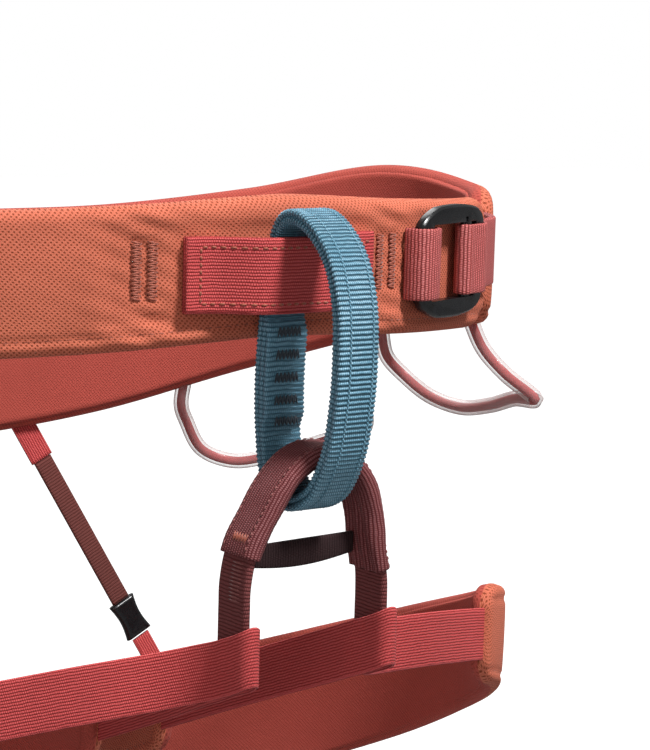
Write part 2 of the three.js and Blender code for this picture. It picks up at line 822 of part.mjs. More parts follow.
for (const [end, shape] of Object.entries(GEAR_LOOPS)) {
  const root = (girth) => belt.at(girth, GEAR.depth, beltEdges(girth)[0] - GEAR.clear);
  const [first, last] = shape.roots.map(root);
  const [a, b] = shape.chord.map((girth) => belt.at(girth, 0, 0));
  const along = b.clone().sub(a).normalize();
  const outward = along.clone().cross(UP);
  const spot = ([back, out, z]) =>
    a.clone().addScaledVector(along, back).addScaledVector(outward, out).setZ(z);
  const tip = spot(shape.tip);
  const drop = point(0, 0, -GEAR.straight);
  const ahead = [first, first.clone().add(drop), ...shape.ahead.map(spot), tip];
  const behind = [tip, ...shape.behind.map(spot), last.clone().add(drop), last];
  const limbs = [ahead, behind].map(
    (points) => new Track(new THREE.CatmullRomCurve3(points, false, "centripetal"), outward),
  );
  const rod = (diameter, turn, over = 0) => {
    const pieces = limbs.map((limb) =>
      swept(
        circle(diameter, GEAR.sides),
        evenly(0, limb.length, Math.round(limb.length / GEAR.step)),
        turn((distance, out, across) => limb.round(distance, out, across, over)),
      ),
    );
    const knuckle = new THREE.SphereGeometry(diameter / 2, GEAR.sides, 6);
    pieces.push(shaped(knuckle, turn((x, y, z) => point(x, y, z).add(tip))));
    return joined(...pieces);
  };
  for (const [side, turn] of BOTH_SIDES) {
    const tube = cut(rod(GEAR.tube, turn), rod(GEAR.bore, turn, 0.5));
    add(`gear_loop_${end}_${side}_tube`, tube, COLOURS.tube, 0.3);
    add(`gear_loop_${end}_${side}_cord`, rod(GEAR.cord, turn), COLOURS.cord);
  }
}

// ---- haul loop ------------------------------------------------------------------------------

const backCentre = belt.length / 2;
const HAUL_SIDE = [
  [0, -22],
  [0, -50],
  [1.2, -66],
  [6, -74],
  [11, -66],
  [12.4, -48],
  [11.8, -26],
  [6, -13.5],
  [0.8, -16],
];
const haulLine = new THREE.CatmullRomCurve3(
  HAUL_SIDE.map(([out, z]) => belt.at(backCentre, HAUL.off + out, z)),
  true,
  "centripetal",
);
const haul = new Track(haulLine, point(1, 0, 0));
const haulSection = rectangle(HAUL.width, -HAUL.thick, 0);
add(
  "haul_loop",
  ring(haulSection, roundTrip(haul.length, HAUL.steps), (...at) => haul.at(...at)),
  COLOURS.webbing,
);
const tabBow = HAUL.off + HAUL.thick + HAUL.room - GAP;
const haulTab = swept(
  rectangle(HAUL.tabTall, GAP, GAP + WEBBING),
  evenly(-HAUL.tabHalf, HAUL.tabHalf, 12),
  (girth, out, across) => {
    const lift = tabBow * (1 - smoothstep(Math.abs(girth), HAUL.width / 2 + 1, HAUL.tabHalf - 4));
    return belt.at(backCentre + girth, out + lift, HAUL.tabHeight + across);
  },
);
add("haul_loop_tab", haulTab, COLOURS.webbing);

// ---- risers ---------------------------------------------------------------------------------

const riserGirth = backCentre - RISER.fromCentre;
const padMiddle = -waistPad.layer.liningIn / 2;
const riserTop = belt.at(riserGirth, padMiddle, beltEdges(riserGirth)[0] - RISER.shy);
const legTabAt = leg.at(leg.length * RISER.legShare, -legLayer.liningIn / 2, 0);
const legTabFoot = legTabAt
  .clone()
  .add(point(0, 0, legEdges(leg.length * RISER.legShare)[1] + RISER.shy));
const riserLines = { left: legTabFoot.clone(), right: legTabFoot.clone() };
riserLines.left.x += legShift;
riserLines.right.x -= legShift;
for (const [side, turn] of BOTH_SIDES) {
  const line = new THREE.LineCurve3(riserTop, riserLines[side]);
  const down = riserLines[side].clone().sub(riserTop).normalize();
  const riser = new Track(line, down.clone().cross(BACKWARDS).normalize());
  const piece = (from, to, width, thick, steps = 1) =>
    swept(
      rectangle(width, -thick / 2, thick / 2),
      evenly(from, to, steps),
      turn((...at) => riser.at(...at)),
    );
  const tabEnd = RISER.tab;
  const hookEnd = riser.length - RISER.legTab - RISER.clearance;
  const hookStart = hookEnd - RISER.hook;
  add(`riser_${side}_belt_tab`, piece(0, tabEnd, RISER.width + 2, WEBBING), COLOURS.webbing);
  add(
    `riser_${side}_elastic`,
    piece(tabEnd + GAP, hookStart - GAP, RISER.width, RISER.thick, 4),
    COLOURS.elastic,
  );
  add(
    `riser_${side}_hook`,
    piece(hookStart, hookEnd, RISER.width + 4, 3.4),
    COLOURS.plastic,
    0.4,
  );
  add(
    `leg_${side}_riser_tab`,
    piece(hookEnd + RISER.clearance, riser.length - GAP, RISER.width, WEBBING),
    COLOURS.webbing,
  );
}

export default harness;
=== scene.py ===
"""Looks of a climbing sit harness: cloth covers, webbing, buckle, loops, stitching and studio."""

import math

import bmesh
import bpy
from mathutils import Matrix, Vector, noise


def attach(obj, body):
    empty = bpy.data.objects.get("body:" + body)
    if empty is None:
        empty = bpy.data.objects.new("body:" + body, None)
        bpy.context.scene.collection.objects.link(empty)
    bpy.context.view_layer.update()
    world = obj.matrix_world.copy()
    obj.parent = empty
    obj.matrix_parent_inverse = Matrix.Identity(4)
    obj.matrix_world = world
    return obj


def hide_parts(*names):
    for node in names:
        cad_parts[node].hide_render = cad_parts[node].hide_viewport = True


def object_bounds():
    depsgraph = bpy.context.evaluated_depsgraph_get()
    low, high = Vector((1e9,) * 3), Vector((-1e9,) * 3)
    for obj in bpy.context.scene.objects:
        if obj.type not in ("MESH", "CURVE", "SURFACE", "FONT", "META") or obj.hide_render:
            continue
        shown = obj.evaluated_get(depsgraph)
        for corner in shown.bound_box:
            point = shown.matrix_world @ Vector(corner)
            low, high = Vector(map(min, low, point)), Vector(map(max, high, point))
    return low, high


bl_info = {
    "name": "Climbing harness looks",
    "version": (1, 0, 0),
    "blender": (4, 5, 0),
    "location": "View3D > Sidebar > Harness",
    "description": "Builds the cloth, webbing, buckle and studio of a climbing harness",
    "category": "Object",
}

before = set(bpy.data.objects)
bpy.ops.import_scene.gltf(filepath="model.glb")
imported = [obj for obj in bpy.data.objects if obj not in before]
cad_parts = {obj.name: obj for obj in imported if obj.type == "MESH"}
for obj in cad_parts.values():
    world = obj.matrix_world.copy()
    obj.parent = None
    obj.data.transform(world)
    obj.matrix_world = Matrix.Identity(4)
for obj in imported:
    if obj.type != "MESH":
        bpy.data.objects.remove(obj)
CAD_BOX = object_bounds()
MM = 0.001
GAP = 0.3  # between pieces that touch
MERGE = 2e-6  # metres within which a seam's vertices are one
UP = Vector((0, 0, 1))

# ---- the routes that pieces follow, in millimetres ---------------------------------------------


def lerp(a, b, t):
    return a + (b - a) * t


def clamp(x, low, high):
    return max(low, min(high, x))


def smooth(x, low, high):
    t = clamp((x - low) / (high - low), 0, 1)
    return t * t * (3 - 2 * t)


def bump(x, low, high, soft):
    """1 between low and high, falling to 0 over soft on each side."""
    return smooth(x, low - soft, low) * (1 - smooth(x, high, high + soft))


def evenly(a, b, steps):
    return [lerp(a, b, i / steps) for i in range(steps + 1)]


def profile(values):
    """A value given at equal steps, smooth between them."""

    def at(share):
        last = len(values) - 1
        p = clamp(share, 0, 1) * last
        i = min(int(p), last - 1)
        w = p - i
        a, b = values[max(i - 1, 0)], values[i]
        c, d = values[i + 1], values[min(i + 2, last)]
        v0, v1 = (c - a) / 2, (d - b) / 2
        cubic, square = 2 * b - 2 * c + v0 + v1, -3 * b + 3 * c - 2 * v0 - v1
        return cubic * w**3 + square * w**2 + v0 * w + b

    return at


def centripetal(points, closed, each=24):
    """Points along the centripetal curve through the given ones."""
    pts = [Vector(p) for p in points]
    n = len(pts)
    line = []
    for i in range(n if closed else n - 1):
        p1, p2 = pts[i], pts[(i + 1) % n]
        p0 = pts[i - 1] if closed or i else 2 * pts[0] - pts[1]
        p3 = pts[(i + 2) % n] if closed or i + 2 < n else 2 * pts[-1] - pts[-2]
        d0, d1, d2 = ((b - a).length ** 0.5 for a, b in ((p0, p1), (p1, p2), (p2, p3)))
        t1 = ((p1 - p0) / d0 - (p2 - p0) / (d0 + d1) + (p2 - p1) / d1) * d1
        t2 = ((p2 - p1) / d1 - (p3 - p1) / (d1 + d2) + (p3 - p2) / d2) * d1
        for k in range(each):
            w = k / each
            line.append(
                p1
                + t1 * w
                + (-3 * p1 + 3 * p2 - 2 * t1 - t2) * w**2
                + (2 * p1 - 2 * p2 + t1 + t2) * w**3
            )
    line.append(line[0].copy() if closed else pts[-1].copy())
    return line


class Track:
    """A line measured along its length. out is square to it and its side; across is along side."""

    PROBE = 0.4  # half the length over which its direction is taken

    def __init__(self, line, side, closed=False):
        self.line, self.side, self.closed = line, Vector(side).normalized(), closed
        self.marks = [0.0]
        for a, b in zip(line, line[1:]):
            self.marks.append(self.marks[-1] + (b - a).length)
        self.length = self.marks[-1]

    def spot(self, distance):
        if self.closed:
            distance %= self.length
        low, high = 0, len(self.marks) - 2
        while low < high:
            middle = (low + high + 1) // 2
            if self.marks[middle] <= distance:
                low = middle
            else:
                high = middle - 1
        a, b = self.marks[low], self.marks[low + 1]
        return self.line[low].lerp(self.line[low + 1], (distance - a) / (b - a))

    def at(self, distance, out, across):
        ahead = self.spot(distance + self.PROBE) - self.spot(distance - self.PROBE)
        outwards = ahead.cross(self.side).normalized()
        return self.spot(distance) + outwards * out + self.side * across

    def square(self, distance, out, across):
        """As at(), with the section square to the line, for round sections."""
        ahead = self.spot(distance + self.PROBE) - self.spot(distance - self.PROBE)
        ahead.normalize()
        outwards = ahead.cross(self.side).normalized()
        return self.spot(distance) + outwards * out + outwards.cross(ahead) * across


# waist belt
HALF_WIDTH, HALF_DEPTH = 157.6, 110.0
belt = Track(
    [
        Vector((HALF_WIDTH * math.sin(a), -HALF_DEPTH * math.cos(a), 0))
        for a in evenly(0, 2 * math.pi, 1440)
    ],
    UP,
    True,
)
BACK = belt.length / 2
belt_top = profile([26.5, 23.2, 21.2, 23, 26, 14, 6.5, 5])
belt_bottom = profile([-20.9, -24.2, -27.6, -33.6, -44.6, -62.4, -79.5, -87])
WAIST_THICK = 8.6
PAD_END = 128.0  # girth of the pad's end under the buckle
PAD_START, PAD_STOP = 150.0, belt.length + PAD_END
WEB, WEB_WIDTH = 1.4, 25.0
TIE_HEIGHT, TIE_HALF, TIE_FLAT, TIE_LIFT = 1.0, 39.5, 8.0, 9.2
TIE_ENDS = (-38.4, 36.4)
TACKS = (-54.2, -48.7, 43.6, 50.4)  # girths of the bar tacks beside the tie-in webbing


def share_back(girth):
    g = girth % belt.length
    return min(g, belt.length - g) / BACK


def belt_edges(girth):
    return belt_bottom(share_back(girth)), belt_top(share_back(girth))


def from_front(girth):
    """Girth as a signed distance from the front centre."""
    g = girth % belt.length
    return g - belt.length if g > BACK else g


# buckle, from the belt's face outwards and along its girth
BUCKLE_MIDDLE, BUCKLE_HALF, BUCKLE_BAR = 80.2, 22.0, 7.2
BUCKLE_LIFT, BUCKLE_THICK = 2.6, 4.2
LOCK_MIDDLE, LOCK_HALF, LOCK_THICK, LOCK_LIFT = 9.4, 2.5, 2.6, 3.4

# belay loop, yoke and legs
BEHIND, PLY, LAP, LOOP_WIDTH = 1.6, 2.2, (20, 56), 16
LOOP_ASKEW, ASKEW_TOP, ASKEW_TALL, ASKEW_DEEP = -4.4, 14, 30, 40
LOOP_SIDE = (
    (0, 6), (0, -28), (0.6, -51), (4.2, -67), (14.8, -75.3), (27.2, -71), (35.8, -57),
    (39.7, -38), (40.6, -20), (39.4, -5), (34.4, 8.4), (25.4, 17.6), (15.4, 22.4), (7, 21.8),
    (1.2, 16),
)  # fmt: skip


def loop_point(forward, height):
    """A point of the belay loop's side view, with its back strand set askew."""
    back = 1 - clamp(forward / ASKEW_DEEP, 0, 1)
    aside = LOOP_ASKEW * back * clamp((ASKEW_TOP - height) / ASKEW_TALL, 0, 1)
    return Vector((aside, -HALF_DEPTH - BEHIND - forward, height))


loop = Track(centripetal([loop_point(*p) for p in LOOP_SIDE], True), (-1, 0, 0), True)
YOKE_Y = -130.0
YOKE_ARCH = (
    (-31, -118), (-31, -112), (-31, -105), (-30.8, -97), (-28.4, -86), (-21.6, -74), (-12.6, -62),
    (-2, -56.4), (9, -58.6), (16.8, -67), (20.4, -78), (22.4, -90), (24.6, -99), (25, -106),
    (25, -112), (25, -118),
)  # fmt: skip
yoke = Track(centripetal([(x, YOKE_Y, z) for x, z in YOKE_ARCH], False), (0, 1, 0))
YOKE_HALF = 1.4  # half the thickness of the yoke's webbing
LEG_WEB, LEG_WEB_WIDTH = 1.4, 20
# from the middle of the yoke's limb to the ring's track: half the limb, two rooms, gap and webbing
NOSE_SIDE = YOKE_HALF + 1.2 + 1.2 + GAP + LEG_WEB
NOSE_Y = YOKE_Y - 8
NOSE_TIP = NOSE_Y - NOSE_SIDE
SLANT = NOSE_SIDE * math.sqrt(0.5)
LEG_X = 28.0
LEG_PLAN = (
    (LEG_X, NOSE_TIP), (LEG_X + SLANT, NOSE_Y - SLANT), (LEG_X + NOSE_SIDE, NOSE_Y),
    (LEG_X + NOSE_SIDE + 0.3, YOKE_Y), (LEG_X + NOSE_SIDE + 2.2, YOKE_Y + 8), (46, -113),
    (82, -105), (126, -84), (157, -42), (163, 12), (141, 62), (95, 87), (50, 76), (21, 40),
    (12, -18), (13, -72), (19.5, -107), (LEG_X - NOSE_SIDE - 1.4, YOKE_Y + 8),
    (LEG_X - NOSE_SIDE - 0.2, YOKE_Y), (LEG_X - NOSE_SIDE, NOSE_Y),
    (LEG_X - SLANT, NOSE_Y - SLANT),
)  # fmt: skip
LEG_HEIGHT, LEG_TILT = -119, 0.42
leg_line = [(x, y, LEG_HEIGHT - LEG_TILT * (y - NOSE_TIP)) for x, y in LEG_PLAN]
leg = Track(centripetal(leg_line, True), UP, True)
LEG_FROM, LEG_TO = leg.length * 0.17, leg.length * 0.8
leg_tall = profile([38, 46, 56, 60, 54, 44, 37])
LEG_THICK = 7.2
LEG_SHIFT = -3.0


def leg_edges(distance):
    tall = leg_tall((distance - LEG_FROM) / (LEG_TO - LEG_FROM))
    return -tall / 2, tall / 2


def on_leg(side):
    """Places on the left or right leg loop."""
    sign = 1 if side == "left" else -1

    def place(distance, out, across):
        v = leg.at(distance, out, across)
        return Vector((sign * (v.x + sign * LEG_SHIFT), v.y, v.z))

    return place


# ---- sheets, bands and threads --------------------------------------------------------------


def make_object(name, bm, finish, body, slot):
    """The finished bmesh as a smooth object that rides on a body."""
    bmesh.ops.recalc_face_normals(bm, faces=bm.faces)
    mesh = bpy.data.meshes.new(name)
    bm.to_mesh(mesh)
    bm.free()
    for polygon in mesh.polygons:
        polygon.use_smooth = True
    mesh.materials.append(finish_named(finish))
    made = bpy.data.objects.new(name, mesh)
    bpy.context.scene.collection.objects.link(made)
    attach(made, body)
    return made


def cloth_map(bm):
    """The UV map that the cloths' patterns read."""
    return bm.loops.layers.uv.get("UVMap") or bm.loops.layers.uv.new("UVMap")


def grid_place(v, nx, ny):
    """The column and row of a vertex in a grid of size 1."""
    return round((v.co.x + 1) / 2 * nx), round((v.co.y + 1) / 2 * ny)


def close_rims(bm):
    rims = [e for e in bm.edges if e.is_boundary]
    if rims:
        bmesh.ops.holes_fill(bm, edges=rims, sides=0)


def woven(bm, along, around, place):
    """A grid wrapped into a band: place(distance, out, across) sets each vertex, and the UV map
    holds the distances along and round it in metres, so that threads keep their size."""
    uv = cloth_map(bm)
    nx, ny = len(along) - 1, len(around) - 1
    made = bmesh.ops.create_grid(bm, x_segments=nx, y_segments=ny, size=1)["verts"]
    girths = [around[0][0]]
    for (a, b), (c, d) in zip(around, around[1:]):
        girths.append(girths[-1] + math.hypot(c - a, d - b))
    spots = {}
    for v in made:
        i, j = grid_place(v, nx, ny)
        across, out = around[j]
        spots[v] = (along[i] * MM, girths[j] * MM)
        v.co = place(along[i], out, across) * MM
    for face in {f for v in made for f in v.link_faces}:
        for corner in face.loops:
            corner[uv].uv = spots[corner.vert]
    bmesh.ops.remove_doubles(bm, verts=made, dist=MERGE)
    close_rims(bm)


def woven_piece(name, node, along, around, place, finish, body, slot):
    """A band along a track, shown in place of a node."""
    bm = bmesh.new()
    woven(bm, along, around, place)
    made = make_object(name, bm, finish, body, slot)
    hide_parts(node)


def flat_section(width, low, high, across=6):
    """A band's closed outline with round edges, as (across, out)."""
    r = (high - low) / 2
    middle, flat = (high + low) / 2, width / 2 - r
    turn = [math.radians(a) for a in (60, 30, 0, -30, -60)]
    face = evenly(-flat, flat, across)
    outline = [(x, high) for x in face]
    outline += [(flat + r * math.cos(a), middle + r * math.sin(a)) for a in turn]
    outline += [(x, low) for x in reversed(face)]
    outline += [(-flat - r * math.cos(a), middle - r * math.sin(a)) for a in turn]
    return [*outline, outline[0]]


def round_section(diameter, sides):
    r = diameter / 2
    return [(r * math.cos(a), r * math.sin(a)) for a in evenly(0, 2 * math.pi, sides)]


STITCH_WIDE, STITCH_TALL = 0.55, 0.42  # half a stitch's width and height, of the thread's
ONE_STITCH = 99  # longer than any step of a run, so that each step is one stitch


def stitch(bm, a, b, outward, thick):
    """One stitch of thread from a to b, a long bead that lies on the cloth."""
    a, b = a * MM, b * MM
    x = (b - a).normalized()
    z = (outward - x * outward.dot(x)).normalized()
    y = z.cross(x)
    turn = Matrix((x, y, z)).transposed().to_4x4()
    half = ((b - a).length / 2, thick * MM * STITCH_WIDE, thick * MM * STITCH_TALL)
    size = Matrix.Diagonal((*half, 1))
    place = Matrix.Translation((a + b) / 2) @ turn @ size
    bmesh.ops.create_icosphere(bm, subdivisions=1, radius=1, matrix=place)


def stitch_run(bm, place, points, thick, length=ONE_STITCH, fill=0.78):
    """Stitches along a run of (distance, across) points on place's face, each with a small gap."""
    for (d0, a0), (d1, a1) in zip(points, points[1:]):
        total = math.hypot(d1 - d0, a1 - a0)
        count = max(1, round(total / length))
        for k in range(count):
            spots = [
                (lerp(d0, d1, (k + share) / count), lerp(a0, a1, (k + share) / count))
                for share in ((1 - fill) / 2, 0.5, (1 + fill) / 2)
            ]
            start, middle, end = (place(d, 0, a) for d, a in spots)
            outward = place(spots[1][0], 1, spots[1][1]) - middle
            stitch(bm, start, end, outward, thick)


def bar_tack(bm, place, start, end, thick, half, pitch=1.5):
    """A dense zigzag of thread between start and end of (distance, across), half each side."""
    run = Vector((end[0] - start[0], end[1] - start[1]))
    count = max(2, round(run.length / pitch * 2))
    side = Vector((-run.y, run.x)).normalized() * half
    points = []
    for k in range(count + 1):
        p = Vector(start) + run * k / count + side * (1 if k % 2 else -1)
        points.append((p.x, p.y))
    stitch_run(bm, place, points, thick, fill=1.04)


# ---- materials ------------------------------------------------------------------------------


def ink(red, green, blue):
    """A display colour of 0 to 255 as linear light."""
    shades = (red, green, blue)
    return tuple(((c / 255 + 0.055) / 1.055) ** 2.4 if c > 10 else c / 3294 for c in shades)


class Graph:
    """Adds and links nodes in a material or a node group. i0, i1 ... name sockets by place."""

    def __init__(self, tree):
        self.tree = tree

    def node(self, kind, settings=None, **inputs):
        made = self.tree.nodes.new(kind)
        for key, value in (settings or {}).items():
            setattr(made, key, value)
        for key, value in inputs.items():
            by_place = key[0] == "i" and key[1:].isdigit()
            self.put(made.inputs[int(key[1:]) if by_place else key], value)
        return made

    def put(self, socket, value):
        if isinstance(value, bpy.types.NodeSocket):
            self.tree.links.new(value, socket)
        else:
            socket.default_value = value

    def feed(self, shader, **values):
        """Links or sets the shader's sockets, whose names have _ for each space."""
        for name, value in values.items():
            self.put(shader.inputs[name.replace("_", " ")], value)

    def group(self, tree, **values):
        return self.node("ShaderNodeGroup", {"node_tree": tree}, **values).outputs

    def object_place(self):
        return self.node("ShaderNodeTexCoord").outputs["Object"]

    def cloth_place(self):
        return self.node("ShaderNodeUVMap", {"uv_map": "UVMap"}).outputs[0]

    def math(self, operation, a, b=0.0, c=0.0):
        return self.node("ShaderNodeMath", {"operation": operation}, i0=a, i1=b, i2=c).outputs[0]

    def times(self, a, b):
        return self.math("MULTIPLY", a, b)

    def plus(self, a, b):
        return self.math("ADD", a, b)

    def over(self, a, b):
        return self.math("DIVIDE", a, b)

    def wave(self, turns):
        """0 at each whole number, 1 halfway between."""
        return self.math("ABSOLUTE", self.math("SINE", self.times(turns, math.pi)))

    def mix(self, share, a, b):
        made = self.node("ShaderNodeMix", {"data_type": "RGBA"}, i0=share)
        self.put(made.inputs[6], a)
        self.put(made.inputs[7], b)
        return made.outputs[2]

    def fit(self, value, low, high, to_low=0.0, to_high=1.0):
        made = self.node("ShaderNodeMapRange", None, Value=value)
        limits = {"From Min": low, "From Max": high, "To Min": to_low, "To Max": to_high}
        for key, limit in limits.items():
            made.inputs[key].default_value = limit
        return made.outputs[0]

    def noise(self, vector, scale, detail=3.0, roughness=0.55):
        settings = {"Scale": scale, "Detail": detail, "Roughness": roughness}
        return self.node("ShaderNodeTexNoise", None, Vector=vector, **settings).outputs[0]

    def relief(self, height, strength, distance):
        bump_node = {"Height": height, "Strength": strength, "Distance": distance}
        return self.node("ShaderNodeBump", None, **bump_node).outputs[0]


def new_group(name, inputs, outputs):
    group = bpy.data.node_groups.new(name, "ShaderNodeTree")
    for label, kind, default in inputs:
        socket = group.interface.new_socket(name=label, in_out="INPUT", socket_type=kind)
        if default is not None:
            socket.default_value = default
    for label, kind in outputs:
        group.interface.new_socket(name=label, in_out="OUTPUT", socket_type=kind)
    g = Graph(group)
    return group, g, g.node("NodeGroupInput").outputs, g.node("NodeGroupOutput").inputs


FLOAT, COLOUR = "NodeSocketFloat", "NodeSocketColor"


def new_weave(name, *inputs):
    """A weave's group, with the cloth's coordinates in millimetres."""
    outputs = [(label, FLOAT) for label in ("Height", "Groove", "Crest")]
    sockets = [("Cloth", "NodeSocketVector", None)]
    sockets += [(label, FLOAT, default) for label, default in inputs]
    group, g, given, out = new_group(name, sockets, outputs)
    parts = g.node("ShaderNodeSeparateXYZ", None, Vector=given["Cloth"]).outputs
    return group, g, given, out, [g.times(parts[i], 1 / MM) for i in (0, 1)]


def end_weave(g, out, height, groove, crest):
    """Height's share from groove[0] to groove[1] is the groove mask, which sets the painted shade
    and the roughness of the grooves; above crest it is the mask of the painted highlight on the
    crests.
    """
    g.put(out["Height"], height)
    g.put(out["Groove"], g.fit(height, *groove, 1.0, 0.0))
    g.put(out["Crest"], g.fit(height, crest, 1.0))


def ribbed_group():
    """Webbing: ribs across u or v, crossed by finer threads."""
    group, g, given, out, mm = new_weave(
        "Ribbed webbing", ("Rib pitch", 1.0), ("Thread pitch", 0.5), ("Across", 0.0)
    )
    across, along = given["Across"], g.math("SUBTRACT", 1.0, given["Across"])
    turned = [
        g.plus(g.times(mm[i], along), g.times(mm[1 - i], across))
        for i in (0, 1)
    ]
    wobble = g.fit(g.noise(given["Cloth"], 260.0, 2.0), 0.3, 0.7, -0.12, 0.12)
    rib = g.wave(g.plus(g.over(turned[0], given["Rib pitch"]), wobble))
    row = g.math("FLOOR", g.over(turned[0], given["Rib pitch"]))
    phase = g.times(g.math("MODULO", row, 2.0), 0.5)
    thread = g.wave(g.plus(g.over(turned[1], given["Thread pitch"]), phase))
    height = g.times(g.math("POWER", rib, 0.6), g.fit(thread, 0.0, 1.0, 0.5, 1.0))
    end_weave(g, out, height, (0.12, 0.62), 0.6)
    return group


def pack_weave_group():
    """Pack cloth: small hollows in a brick pattern between plump threads."""
    group, g, given, out, mm = new_weave("Pack weave", ("Pitch", 2.2))
    u, v = (g.over(length, given["Pitch"]) for length in mm)
    wobble = g.fit(g.noise(given["Cloth"], 160.0, 2.0), 0.3, 0.7, -0.12, 0.12)
    slant = g.plus(g.plus(u, g.times(v, 0.22)), wobble)
    cells = [
        g.math("COSINE", g.times(turn, share * math.pi))
        for turn, share in ((slant, 2.0), (g.plus(v, wobble), 2.3))
    ]
    hollow = g.fit(g.times(cells[0], cells[1]), 0.15, 0.85)
    thread = g.wave(g.times(g.math("SUBTRACT", u, g.times(v, 1.3)), 3.1))
    plump = g.fit(thread, 0.0, 1.0, 0.6, 1.0)
    height = g.times(g.fit(hollow, 0.0, 1.0, 1.0, 0.1), plump)
    end_weave(g, out, height, (0.1, 0.72), 0.7)
    return group


def cloth_tone_group():
    """One cloth colour with uneven dye, a painted highlight on the thread crests and painted shade
    in the grooves.
    """
    group, g, given, out = new_group(
        "Cloth tone",
        [
            ("Cloth", "NodeSocketVector", None),
            ("Dye", COLOUR, (0.5, 0.2, 0.2, 1)),
            ("Deep", COLOUR, (0.2, 0.05, 0.05, 1)),
            ("Light", COLOUR, (0.8, 0.5, 0.5, 1)),
            ("Groove", FLOAT, 0.0),
            ("Crest", FLOAT, 0.0),
        ],
        [("Colour", COLOUR)],
    )
    patches = g.fit(g.noise(given["Cloth"], 22.0, 4.0), 0.35, 0.7)
    specks = g.fit(g.noise(given["Cloth"], 1900.0, 2.0, 0.7), 0.35, 0.7)
    # painted highlight: the thread crests pale towards the highlight colour, speckled at random
    crest = g.times(given["Crest"], g.fit(specks, 0.0, 1.0, 0.3, 1.0))
    tone = g.mix(crest, given["Dye"], given["Light"])
    # uneven dye: random patches towards the dark colour
    tone = g.mix(g.times(patches, 0.22), tone, given["Deep"])
    # painted shade: the grooves darken towards the dark colour
    tone = g.mix(g.times(given["Groove"], 0.85), tone, given["Deep"])
    g.put(out["Colour"], tone)
    return group


